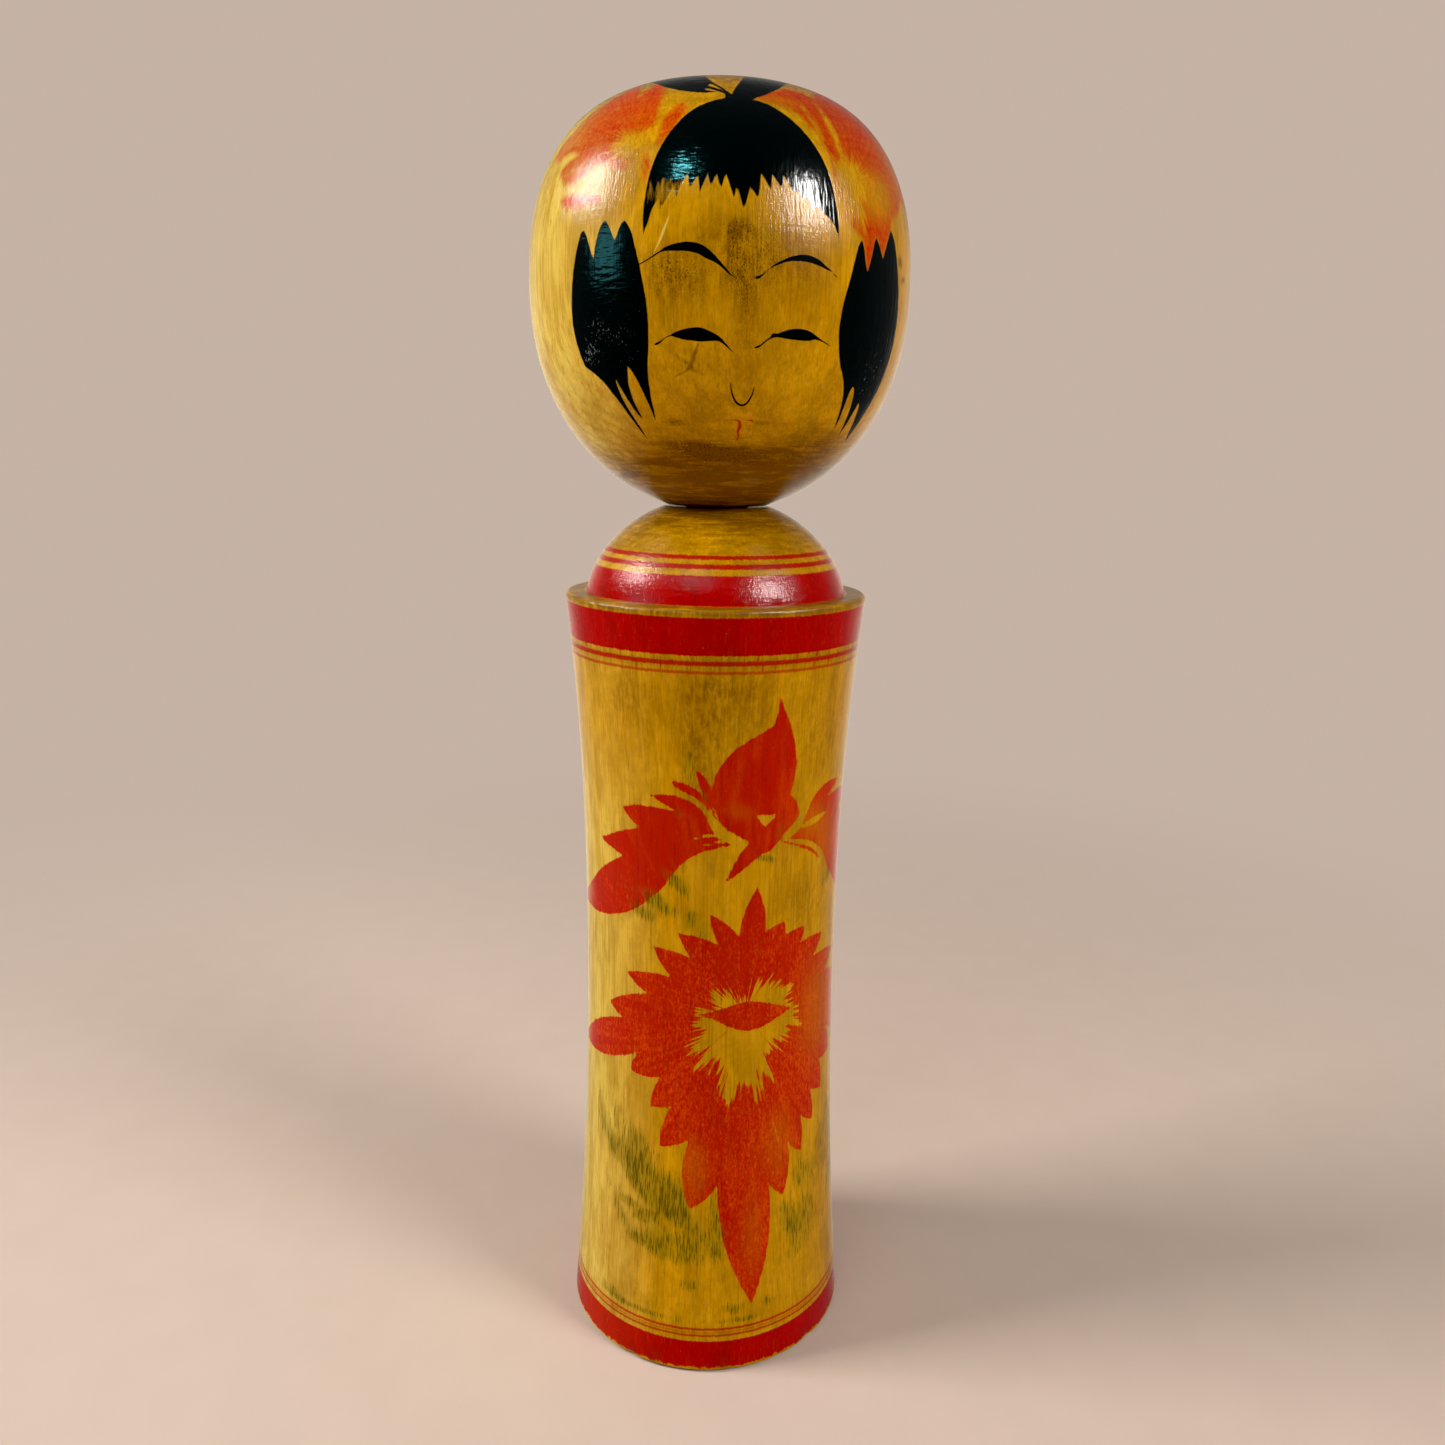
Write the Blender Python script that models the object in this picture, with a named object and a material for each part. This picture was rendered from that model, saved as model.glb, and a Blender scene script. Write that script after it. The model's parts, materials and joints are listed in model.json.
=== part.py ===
"""Kokeshi doll with a turning head, as two turned pieces of wood.

The head carries a neck tenon turned from the same block, with a bead round its lower end. The body has
a socket with an undercut, so the bead holds the head down while the head turns about the doll's axis.

Frame: metres, +Z up, origin at the centre of the base, the face looks along -Y.
Run with: blender --background --python part.py
"""

from math import cos, pi, sin, sqrt

import bpy

MM = 0.001
TURNED_STEPS = 48  # flats round every turned surface
ROUND_EDGE_STEPS = 3

# Heights above the base, in millimetres
TOTAL_HEIGHT = 303.0  # one shaku, a trade size of these dolls
SEAT_HEIGHT = 213.8  # underside of the head, where it meets the shoulder
LEDGE_HEIGHT = 193.3  # flat step round the shoulder dome
WAIST_HEIGHT = 105.0  # narrowest place of the body

# Body, in millimetres
BASE_RADIUS = 36.3
WAIST_RADIUS = 32.0
RIM_RADIUS = 36.4
FLARE_POWER_BELOW = 2.0  # how the side flares from the waist to the base
FLARE_POWER_ABOVE = 2.3  # and from the waist to the rim
SIDE_STEPS = 12
RIM_EDGE_RADIUS = 1.1  # rounding of the ledge's outer corner
BASE_EDGE = 0.9  # chamfer that wear has left on the base
DOME_CENTRE_HEIGHT = 188.0  # the dome is the upper part of an ellipsoid about this height
DOME_RADIUS = 31.9
DOME_RISE = 27.8
DOME_STEPS = 9
FOOT_INNER_RADIUS = 29.0  # the underside is dished inside this ring
DISH_SLOPE_WIDTH = 3.0
DISH_DEPTH = 1.0
CENTRE_MARK_RADIUS = 2.2  # cone left by the lathe's centre
CENTRE_MARK_DEPTH = 2.5

# Head, in millimetres
HEAD_RADIUS = 43.3
HEAD_WIDEST_HEIGHT = 262.0
CROWN_RISE = TOTAL_HEIGHT - HEAD_WIDEST_HEIGHT
CROWN_POWERS = (3.2, 2.3)  # across and up: above 2 is squarer than an ellipse
CROWN_STEPS = 11
CHIN_DROP = 50.0
CHIN_POWERS = (1.95, 2.2)
CHIN_STEPS = 16
SEAT_RADIUS = 11.9  # flat underside of the head

# Neck joint, in millimetres
NECK_RADIUS = 7.6
BEAD_RADIUS = 8.8
BEAD_HALF_HEIGHT = 4.0
BEAD_DEPTH = 17.0  # middle of the bead below the seat
BEAD_STEPS = 6
TENON_LENGTH = 24.0
TENON_TIP_RADIUS = 6.4
RUNNING_GAP = 0.3  # between the head and the body, all over the joint
TENON_END_GAP = 1.5
MOUTH_CHAMFER = 0.8
DRILL_POINT_DEPTH = 1.0
DRILL_CORNER = 0.6

WOOD_COLOUR = (0.52, 0.30, 0.035, 1.0)


def clear_scene():
    for thing in list(bpy.data.objects):
        bpy.data.objects.remove(thing)


def wood(name):
    material = bpy.data.materials.new(name)
    material.use_nodes = True
    shader = material.node_tree.nodes["Principled BSDF"]
    shader.inputs["Base Color"].default_value = WOOD_COLOUR
    shader.inputs["Roughness"].default_value = 0.35
    shader.inputs["Metallic"].default_value = 0.0
    return material


def turned(name, profile, height, material, parent=None):
    """Turns a profile of (radius, height above the base) points, in millimetres, about the doll's axis.

    The object's origin is on the axis at the given height. The profile runs down its outer side.
    """
    mesh = bpy.data.meshes.new(name)
    points = [(radius * MM, 0.0, (z - height) * MM) for radius, z in profile]
    edges = [(i, i + 1) for i in range(len(points) - 1)]
    mesh.from_pydata(points, edges, [])
    piece = bpy.data.objects.new(name, mesh)
    bpy.context.scene.collection.objects.link(piece)
    piece.data.materials.append(material)
    piece.location.z = height * MM
    if parent:
        piece.parent = parent
        piece.location.z -= parent.location.z

    screw = piece.modifiers.new("turning", "SCREW")
    screw.axis = "Z"
    screw.angle = 2.0 * pi
    screw.steps = TURNED_STEPS
    screw.render_steps = TURNED_STEPS
    screw.use_merge_vertices = True
    screw.merge_threshold = 1e-5
    screw.use_smooth_shade = True
    return piece


def superellipse(radius, rise, powers, steps):
    """Quarter outline from (0, rise) to (radius, 0), both ends included."""
    across, up = powers
    points = []
    for i in range(steps + 1):
        angle = pi / 2 * i / steps
        points.append((radius * sin(angle) ** (2 / across), rise * cos(angle) ** (2 / up)))
    return points


def bead(neck_radius, bead_radius, half_height, middle, upward):
    """Outline of the bead, or of its undercut, between two stretches of neck."""
    direction = 1 if upward else -1
    points = []
    for i in range(BEAD_STEPS + 1):
        angle = pi * i / BEAD_STEPS
        swell = (bead_radius - neck_radius) * sin(angle) ** 2
        points.append((neck_radius + swell, middle - direction * half_height * cos(angle)))
    return points


def head_profile():
    """From the crown down the outside to the seat, then down the tenon to its end."""
    crown = superellipse(HEAD_RADIUS, CROWN_RISE, CROWN_POWERS, CROWN_STEPS)
    chin = superellipse(HEAD_RADIUS, CHIN_DROP, CHIN_POWERS, CHIN_STEPS)
    outline = [(r, HEAD_WIDEST_HEIGHT + z) for r, z in crown]
    outline += [(r, HEAD_WIDEST_HEIGHT - z) for r, z in reversed(chin[:-1]) if r > SEAT_RADIUS + 1.0]
    outline.append((SEAT_RADIUS, SEAT_HEIGHT))
    outline.append((NECK_RADIUS, SEAT_HEIGHT))
    outline += bead(NECK_RADIUS, BEAD_RADIUS, BEAD_HALF_HEIGHT, SEAT_HEIGHT - BEAD_DEPTH, upward=False)
    outline.append((TENON_TIP_RADIUS, SEAT_HEIGHT - TENON_LENGTH))
    outline.append((0.0, SEAT_HEIGHT - TENON_LENGTH))
    return outline


def socket_profile():
    """From the middle of the socket's floor up its wall to the top of the shoulder."""
    floor = SEAT_HEIGHT - TENON_LENGTH - TENON_END_GAP
    wall = NECK_RADIUS + RUNNING_GAP
    top = SEAT_HEIGHT - RUNNING_GAP
    outline = [(0.0, floor - DRILL_POINT_DEPTH), (wall - DRILL_CORNER, floor), (wall, floor + DRILL_CORNER)]
    outline += bead(
        wall,
        BEAD_RADIUS + RUNNING_GAP,
        BEAD_HALF_HEIGHT + RUNNING_GAP,
        SEAT_HEIGHT - BEAD_DEPTH,
        upward=True,
    )
    outline.append((wall, top - MOUTH_CHAMFER))
    outline.append((wall + MOUTH_CHAMFER, top))
    return outline


def dome_profile():
    """The shoulder dome, from its flat top down to the ledge."""
    top = SEAT_HEIGHT - RUNNING_GAP - DOME_CENTRE_HEIGHT
    bottom = LEDGE_HEIGHT - DOME_CENTRE_HEIGHT
    outline = []
    for i in range(DOME_STEPS + 1):
        rise = top + (bottom - top) * i / DOME_STEPS
        outline.append((DOME_RADIUS * sqrt(1 - (rise / DOME_RISE) ** 2), DOME_CENTRE_HEIGHT + rise))
    return outline


def side_radius(z):
    """The concave side: it flares from the waist to the rim above it and to the base below it."""
    if z > WAIST_HEIGHT:
        share = (z - WAIST_HEIGHT) / (LEDGE_HEIGHT - WAIST_HEIGHT)
        return WAIST_RADIUS + (RIM_RADIUS - WAIST_RADIUS) * share**FLARE_POWER_ABOVE
    share = (WAIST_HEIGHT - z) / WAIST_HEIGHT
    return WAIST_RADIUS + (BASE_RADIUS - WAIST_RADIUS) * share**FLARE_POWER_BELOW


def rim_profile():
    """Rounded outer corner of the ledge."""
    radius = side_radius(LEDGE_HEIGHT - RIM_EDGE_RADIUS)
    outline = []
    for i in range(ROUND_EDGE_STEPS + 1):
        angle = pi / 2 * i / ROUND_EDGE_STEPS
        inset = RIM_EDGE_RADIUS * (1 - sin(angle))
        drop = RIM_EDGE_RADIUS * (1 - cos(angle))
        outline.append((radius - inset, LEDGE_HEIGHT - drop))
    return outline


def side_profile():
    """The body's side, from just below the rounded rim down to the worn edge of the base."""
    top = LEDGE_HEIGHT - RIM_EDGE_RADIUS
    heights = [top + (BASE_EDGE - top) * i / SIDE_STEPS for i in range(1, SIDE_STEPS + 1)]
    return [(side_radius(z), z) for z in heights]


def base_profile():
    """The ring that the doll stands on, the dished underside and the lathe's centre mark."""
    return [
        (BASE_RADIUS - BASE_EDGE, 0.0),
        (FOOT_INNER_RADIUS, 0.0),
        (FOOT_INNER_RADIUS - DISH_SLOPE_WIDTH, DISH_DEPTH),
        (CENTRE_MARK_RADIUS, DISH_DEPTH),
        (0.0, DISH_DEPTH + CENTRE_MARK_DEPTH),
    ]


def body_profile():
    return socket_profile() + dome_profile() + rim_profile() + side_profile() + base_profile()


def main():
    clear_scene()
    body = turned("body", body_profile(), 0.0, wood("body_wood"))
    turned("head", head_profile(), SEAT_HEIGHT, wood("head_wood"), parent=body)


main()
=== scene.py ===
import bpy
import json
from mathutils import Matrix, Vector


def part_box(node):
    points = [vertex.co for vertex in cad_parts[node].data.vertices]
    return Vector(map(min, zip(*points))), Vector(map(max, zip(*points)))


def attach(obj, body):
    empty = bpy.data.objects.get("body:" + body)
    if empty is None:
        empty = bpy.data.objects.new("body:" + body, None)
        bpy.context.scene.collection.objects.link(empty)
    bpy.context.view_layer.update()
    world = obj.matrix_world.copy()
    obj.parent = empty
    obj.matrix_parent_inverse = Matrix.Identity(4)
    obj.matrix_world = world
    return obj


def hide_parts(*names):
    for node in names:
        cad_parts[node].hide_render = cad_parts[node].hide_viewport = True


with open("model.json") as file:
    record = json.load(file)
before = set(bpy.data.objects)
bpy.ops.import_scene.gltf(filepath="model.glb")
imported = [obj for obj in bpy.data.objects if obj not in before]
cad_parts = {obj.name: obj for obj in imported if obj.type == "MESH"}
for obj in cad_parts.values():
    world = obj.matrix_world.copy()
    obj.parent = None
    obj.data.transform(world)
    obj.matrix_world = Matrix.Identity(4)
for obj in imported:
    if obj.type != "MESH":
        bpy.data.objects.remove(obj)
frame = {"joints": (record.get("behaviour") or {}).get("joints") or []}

"""The looks of a kokeshi doll: two turned pieces of dyed, painted and waxed wood.

Each piece is one dense turned mesh that stands for a CAD node. Where paint lies is worked out from
brush strokes and stored on the mesh's points as distances in millimetres, positive inside a stroke. The
materials turn those distances into paint with crisp or bleeding edges, streaks and wear.

Strokes are drawn on the unrolled surface: azimuth in degrees from -Y towards +X, and height in
millimetres above the base.
"""

import json
from math import cos, hypot, pi, radians, sin

import bpy
import numpy as np
from mathutils import Matrix, Vector

MM = 0.001
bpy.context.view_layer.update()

# ---------------------------------------------------------------- sizes, in millimetres

low, high = (np.array(corner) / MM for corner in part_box("head"))
HEAD_RADIUS = high[0]
TOTAL_HEIGHT = high[2]
TENON_END = low[2]
low, high = (np.array(corner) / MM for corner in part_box("body"))
SHOULDER_TOP = high[2]
SEAT_HEIGHT = frame["joints"][0]["pos_m"][2] / MM
RUNNING_GAP = SEAT_HEIGHT - SHOULDER_TOP

HEAD_WIDEST_HEIGHT = 262.0
CROWN_POWERS = (3.2, 2.3)
CHIN_DROP = 50.0
CHIN_POWERS = (1.95, 2.2)
SEAT_RADIUS = 11.9

NECK_RADIUS = 7.6
BEAD_RADIUS = 8.8
BEAD_HALF_HEIGHT = 4.0
BEAD_DEPTH = 17.0
TENON_TIP_RADIUS = 6.4
TENON_END_GAP = 1.5
MOUTH_CHAMFER = 0.8
DRILL_POINT_DEPTH = 1.0
DRILL_CORNER = 0.6

LEDGE_HEIGHT = 193.3
WAIST_HEIGHT = 105.0
BASE_RADIUS = 36.3
WAIST_RADIUS = 32.0
RIM_RADIUS = 36.4
FLARE_POWER_BELOW = 2.0
FLARE_POWER_ABOVE = 2.3
RIM_EDGE_RADIUS = 1.1
BASE_EDGE = 0.9
DOME_CENTRE_HEIGHT = 188.0
DOME_RADIUS = 31.9
DOME_RISE = 27.8
FOOT_INNER_RADIUS = 29.0
DISH_SLOPE_WIDTH = 3.0
DISH_DEPTH = 1.0
CENTRE_MARK_RADIUS = 2.2
CENTRE_MARK_DEPTH = 2.5

FACE_TOP = 298.5  # between these heights the head's points lie closest together
FACE_BOTTOM = 227.0

FAR = 3.0  # distances to a stroke are kept within this
LINE_REACH = 2.2  # a thin line's offset is only kept this near to it


# ---------------------------------------------------------------- turned outlines


def superellipse(radius, rise, powers, steps):
    """Quarter outline from (0, rise) to (radius, 0)."""
    across, up = powers
    angles = np.linspace(0, pi / 2, steps)
    return np.stack([radius * np.sin(angles) ** (2 / across), rise * np.cos(angles) ** (2 / up)], 1)


def spaced(points, spacing):
    """The same line with points about this far apart, its two ends kept."""
    points = np.asarray(points, float)
    along = np.concatenate([[0], np.cumsum(np.hypot(*np.diff(points, axis=0).T))])
    wanted = np.linspace(0, along[-1], max(2, round(along[-1] / spacing) + 1))
    return np.stack([np.interp(wanted, along, points[:, k]) for k in (0, 1)], 1)


def joined(*stretches):
    """Stretches end to end, without the points that they share."""
    parts = [stretches[0]]
    for stretch in stretches[1:]:
        parts.append(stretch[1:] if np.allclose(stretch[0], parts[-1][-1]) else stretch)
    return np.concatenate(parts)


def bead(neck_radius, bead_radius, half_height, middle):
    """Outline down a bead from neck to neck."""
    angles = np.linspace(0, pi, 13)
    swell = (bead_radius - neck_radius) * np.sin(angles) ** 2
    return np.stack([neck_radius + swell, middle + half_height * np.cos(angles)], 1)


def head_skin():
    """From the crown's middle down the outside to the seat's edge."""
    crown = superellipse(HEAD_RADIUS, TOTAL_HEIGHT - HEAD_WIDEST_HEIGHT, CROWN_POWERS, 400)
    chin = superellipse(HEAD_RADIUS, CHIN_DROP, CHIN_POWERS, 400)[::-1]
    crown[:, 1] += HEAD_WIDEST_HEIGHT
    chin[:, 1] = HEAD_WIDEST_HEIGHT - chin[:, 1]
    chin = chin[(chin[:, 0] > SEAT_RADIUS + 0.2) & (chin[:, 1] > SEAT_HEIGHT)]
    return joined(crown, chin, [(SEAT_RADIUS, SEAT_HEIGHT)])


def head_outline():
    skin = head_skin()
    painted = skin[(skin[:, 1] < FACE_TOP) & (skin[:, 1] > FACE_BOTTOM)]
    top = skin[skin[:, 1] >= painted[0, 1]]
    chin = skin[skin[:, 1] <= painted[-1, 1]]
    return joined(
        spaced(top, 0.9),
        spaced(painted, 0.46),
        spaced(chin, 1.0),
        spaced([(SEAT_RADIUS, SEAT_HEIGHT), (NECK_RADIUS, SEAT_HEIGHT)], 1.5),
        bead(NECK_RADIUS, BEAD_RADIUS, BEAD_HALF_HEIGHT, SEAT_HEIGHT - BEAD_DEPTH),
        spaced([(TENON_TIP_RADIUS, TENON_END), (0.0, TENON_END)], 2.0),
    )


def side_radius(z):
    above = np.clip((z - WAIST_HEIGHT) / (LEDGE_HEIGHT - WAIST_HEIGHT), 0, 1)
    below = np.clip((WAIST_HEIGHT - z) / WAIST_HEIGHT, 0, 1)
    flare = (RIM_RADIUS - WAIST_RADIUS) * above**FLARE_POWER_ABOVE
    return WAIST_RADIUS + flare + (BASE_RADIUS - WAIST_RADIUS) * below**FLARE_POWER_BELOW


def side_skin():
    """From just under the rounded rim down to the worn edge of the base."""
    heights = np.linspace(LEDGE_HEIGHT - RIM_EDGE_RADIUS, BASE_EDGE, 600)
    return np.stack([side_radius(heights), heights], 1)


def dome_skin():
    rises = np.linspace(SHOULDER_TOP, LEDGE_HEIGHT, 200) - DOME_CENTRE_HEIGHT
    radii = DOME_RADIUS * np.sqrt(1 - (rises / DOME_RISE) ** 2)
    return np.stack([radii, DOME_CENTRE_HEIGHT + rises], 1)


def rim_skin():
    radius = side_radius(LEDGE_HEIGHT - RIM_EDGE_RADIUS)
    angles = np.linspace(0, pi / 2, 7)
    inset = RIM_EDGE_RADIUS * (1 - np.sin(angles))
    drop = RIM_EDGE_RADIUS * (1 - np.cos(angles))
    return np.stack([radius - inset, LEDGE_HEIGHT - drop], 1)


def body_outline():
    floor = TENON_END - TENON_END_GAP
    wall = NECK_RADIUS + RUNNING_GAP
    undercut = bead(wall, BEAD_RADIUS + RUNNING_GAP, BEAD_HALF_HEIGHT + RUNNING_GAP, SEAT_HEIGHT - BEAD_DEPTH)
    dome = dome_skin()
    rim = rim_skin()
    foot = BASE_RADIUS - BASE_EDGE
    dish = FOOT_INNER_RADIUS - DISH_SLOPE_WIDTH
    return joined(
        [(0.0, floor - DRILL_POINT_DEPTH), (wall - DRILL_CORNER, floor), (wall, floor + DRILL_CORNER)],
        undercut[::-1],
        [(wall, SHOULDER_TOP - MOUTH_CHAMFER), (wall + MOUTH_CHAMFER, SHOULDER_TOP)],
        spaced([(wall + MOUTH_CHAMFER, SHOULDER_TOP), dome[0]], 1.5),
        spaced(dome, 0.9),
        spaced([dome[-1], rim[0]], 0.8),
        rim,
        spaced(side_skin(), 0.72),
        spaced([(side_radius(BASE_EDGE), BASE_EDGE), (foot, 0.0)], 0.45),
        spaced([(foot, 0.0), (FOOT_INNER_RADIUS, 0.0)], 2.0),
        spaced([(FOOT_INNER_RADIUS, 0.0), (dish, DISH_DEPTH)], 1.5),
        spaced([(dish, DISH_DEPTH), (CENTRE_MARK_RADIUS, DISH_DEPTH)], 3.0),
        [(0.0, DISH_DEPTH + CENTRE_MARK_DEPTH)],
    )


# ---------------------------------------------------------------- meshes


def columns(first, last, dense, coarse):
    """Azimuths all the way round: dense steps from first to last, coarse steps over the rest."""
    front = np.linspace(first, last, round((last - first) / dense) + 1)
    rest = 360 - (last - first)
    back = last + rest * np.arange(1, round(rest / coarse)) / round(rest / coarse)
    return np.concatenate([front, back])


def linked(name, data):
    """A new object in the scene."""
    thing = bpy.data.objects.new(name, data)
    bpy.context.scene.collection.objects.link(thing)
    return thing


def turned(name, outline, azimuths, nicks=()):
    """A closed turned mesh, with its points' azimuths and heights. The outline runs between two poles."""
    angles = np.radians(azimuths)
    rings = outline[1:-1]
    radii = np.repeat(rings[:, :1], len(angles), 1)
    heights = np.repeat(rings[:, 1:], len(angles), 1)
    for azimuth, height, width, depth in nicks:
        turn = (azimuths - azimuth + 180) % 360 - 180
        across = np.hypot(np.radians(turn)[None] * radii, heights - height)
        radii = radii - depth * np.exp(-((across / width) ** 2))
    x, y = radii * np.sin(angles), -radii * np.cos(angles)
    points = np.stack([x, y, heights], -1).reshape(-1, 3)
    ends = [(0, 0, outline[0, 1]), (0, 0, outline[-1, 1])]
    count, around = len(rings), len(angles)
    here = np.arange(count * around).reshape(count, around)
    beside = np.roll(here, -1, axis=1)
    quads = np.stack([here[:-1], here[1:], beside[1:], beside[:-1]], -1).reshape(-1, 4)
    top, bottom = count * around, count * around + 1
    fans = [(top, a, b) for a, b in zip(here[0].tolist(), beside[0].tolist())]
    fans += [(bottom, b, a) for a, b in zip(here[-1].tolist(), beside[-1].tolist())]
    mesh = bpy.data.meshes.new(name)
    mesh.from_pydata((np.concatenate([points, ends]) * MM).tolist(), [], quads.tolist() + fans)
    mesh.shade_smooth()
    mesh.set_sharp_from_angle(angle=radians(40))
    piece = linked(name, mesh)
    run = np.gradient(outline, axis=0)
    level = (run[:, 0] / np.hypot(*run.T)) ** 2
    spots = {
        "end_grain": np.concatenate([np.repeat(level[1:-1], around), level[[0, -1]]]),
        "azimuth": np.concatenate([np.tile((azimuths + 180) % 360 - 180, count), [0, 0]]),
        "height": np.concatenate([heights.reshape(-1), [outline[0, 1], outline[-1, 1]]]),
        "radius": np.concatenate([radii.reshape(-1), [0, 0]]),
        "x": np.concatenate([points[:, 0], [0, 0]]),
        "y": np.concatenate([points[:, 1], [0, 0]]),
    }
    return piece, spots


def store(piece, name, values):
    piece.data.attributes.new(name, "FLOAT", "POINT").data.foreach_set("value", values.astype(np.float32))


# ---------------------------------------------------------------- strokes


def curve(points, steps=7):
    """A smooth curve through the points, ends included."""
    points = np.asarray(points, float)
    if len(points) == 2:
        return points
    padded = np.concatenate([[2 * points[0] - points[1]], points, [2 * points[-1] - points[-2]]])
    t = np.linspace(0, 1, steps, endpoint=False)[:, None]
    parts = []
    for a, b, c, d in zip(padded, padded[1:], padded[2:], padded[3:]):
        square, cube = 2 * a - 5 * b + 4 * c - d, 3 * b - a - 3 * c + d
        parts.append(0.5 * (2 * b + (c - a) * t + square * t**2 + cube * t**3))
    return np.concatenate(parts + [points[-1:]])


def outline_of(stretches):
    """A closed outline. Each stretch starts at a corner and ends at the first point of the next one."""
    following = stretches[1:] + stretches[:1]
    return np.concatenate([curve(s + [n[0]])[:-1] for s, n in zip(stretches, following)])


def mirrored(stretches, azimuth):
    """The same outline on the other side of this azimuth."""
    flipped = [[(2 * azimuth - a, z) for a, z in s] for s in stretches]
    starts = [s[0] for s in flipped[1:]] + [flipped[0][0]]
    return [[start] + s[:0:-1] for start, s in zip(starts[::-1], flipped[::-1])]


def near_segment(px, py, start, end):
    """How far along the segment each point lies, from 0 to 1, and how far away from it."""
    dx, dy = end - start
    ax, ay = start
    share = np.clip(((px - ax) * dx + (py - ay) * dy) / (dx * dx + dy * dy + 1e-12), 0, 1)
    return share, np.hypot(px - ax - share * dx, py - ay - share * dy)


class Sheet:
    """The unrolled surface of a piece: places on it as millimetres across and along the outline."""

    def __init__(self, skin, spots):
        heights = skin[::-1, 1]
        along = np.concatenate([[0], np.cumsum(np.hypot(*np.diff(skin, axis=0).T))])[::-1]
        self.place = lambda z: np.interp(z, heights, along)
        self.radius = lambda z: np.interp(z, heights, skin[::-1, 0])
        self.spots = spots
        self.on_skin = spots["height"] >= heights[0] - 1
        self.spot_radius = np.maximum(spots["radius"], 1.0)
        self.spot_along = self.place(spots["height"])

    def flat(self, drawn):
        """The mesh's points and the drawn points, both as (across, along) from the drawing's middle."""
        drawn = np.asarray(drawn, float)
        middle = (drawn[:, 0].min() + drawn[:, 0].max()) / 2
        turn = (self.spots["azimuth"] - middle + 180) % 360 - 180
        points = np.stack([np.radians(turn) * self.spot_radius, self.spot_along], 1)
        across = np.radians(drawn[:, 0] - middle) * self.radius(drawn[:, 1])
        return points, np.stack([across, self.place(drawn[:, 1])], 1)

    def near(self, points, drawn, reach):
        """Which of the mesh's points lie in the box round the drawing."""
        inside = (points > drawn.min(0) - reach) & (points < drawn.max(0) + reach)
        return np.nonzero(inside.all(1) & self.on_skin)[0]

    def filled(self, drawn):
        """Distance inside a closed outline."""
        points, drawn = self.flat(drawn)
        return self.distance(points, drawn)

    def distance(self, points, drawn):
        result = np.full(len(points), -FAR)
        index = self.near(points, drawn, FAR)
        px, py = points[index].T
        inside = np.zeros(len(index), bool)
        nearest = np.full(len(index), FAR)
        for a, b in zip(drawn, np.roll(drawn, -1, axis=0)):
            nearest = np.minimum(nearest, near_segment(px, py, a, b)[1])
            dx, dy = b - a
            if dy:
                inside ^= ((a[1] > py) != (b[1] > py)) & (px < a[0] + (py - a[1]) * dx / dy)
        result[index] = np.where(inside, nearest, -nearest)
        return result

    def brushed(self, spine):
        """Distance inside one brush stroke. Its spine's points are (azimuth, height, half width in mm)."""
        spine = curve(spine)
        points, drawn = self.flat(spine[:, :2])
        widths = spine[:, 2]
        result = np.full(len(points), -FAR)
        index = self.near(points, drawn, FAR + widths.max())
        px, py = points[index].T
        best = np.full(len(index), -FAR)
        for a, b, wide_a, wide_b in zip(drawn, drawn[1:], widths, widths[1:]):
            share, away = near_segment(px, py, a, b)
            best = np.maximum(best, wide_a + (wide_b - wide_a) * share - away)
        result[index] = best
        return result

    def lines(self, spines):
        """Signed offset from the nearest thin line, and its half width there, below zero past its ends."""
        total = len(self.spots["azimuth"])
        offset, width, best = np.full(total, FAR), np.full(total, -1.0), np.full(total, -FAR)
        for spine in spines:
            spine = curve(spine)
            points, drawn = self.flat(spine[:, :2])
            index = self.near(points, drawn, FAR)
            px, py = points[index].T
            last = len(drawn) - 2
            for i, ((ax, ay), (bx, by)) in enumerate(zip(drawn, drawn[1:])):
                dx, dy = bx - ax, by - ay
                length = hypot(dx, dy)
                raw = ((px - ax) * dx + (py - ay) * dy) / length
                along = np.clip(raw, 0, length)
                side = ((py - ay) * dx - (px - ax) * dy) / length
                past = np.abs(raw - along)
                end = (past > 0) & (((i == 0) & (raw < 0)) | ((i == last) & (raw > length)))
                away = np.hypot(side, past)
                half = spine[i, 2] + (spine[i + 1, 2] - spine[i, 2]) * along / length
                score = half - away
                better = score > best[index]
                chosen = index[better]
                best[chosen] = score[better]
                signed = np.where(end, side, np.where(side < 0, -away, away))
                offset[chosen] = signed[better]
                width[chosen] = np.where(end, half - past, half)[better]
        width[np.abs(offset) > LINE_REACH] = -1.0
        return offset, width

    def plan(self, drawn):
        """Distance inside an outline drawn as (x, y) over the crown, in millimetres."""
        points = np.stack([self.spots["x"], self.spots["y"]], 1)
        points[self.spots["height"] < HEAD_WIDEST_HEIGHT] += 1000
        return self.distance(points, np.asarray(drawn, float))

    def smudge(self, azimuth, height, across, along, strength, tilt=0):
        """A soft patch: its half sizes in millimetres, turned by tilt degrees from level."""
        points, centre = self.flat([(azimuth, height)])
        x, y = (points - centre).T
        c, s = cos(radians(tilt)), sin(radians(tilt))
        reach = ((x * c + y * s) / across) ** 2 + ((y * c - x * s) / along) ** 2
        return strength * np.exp(-(reach**1.5)) * self.on_skin

    def patches(self, smudges):
        return sum(self.smudge(*smudge) for smudge in smudges)


# Black hair. Corners start the stretches.

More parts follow.
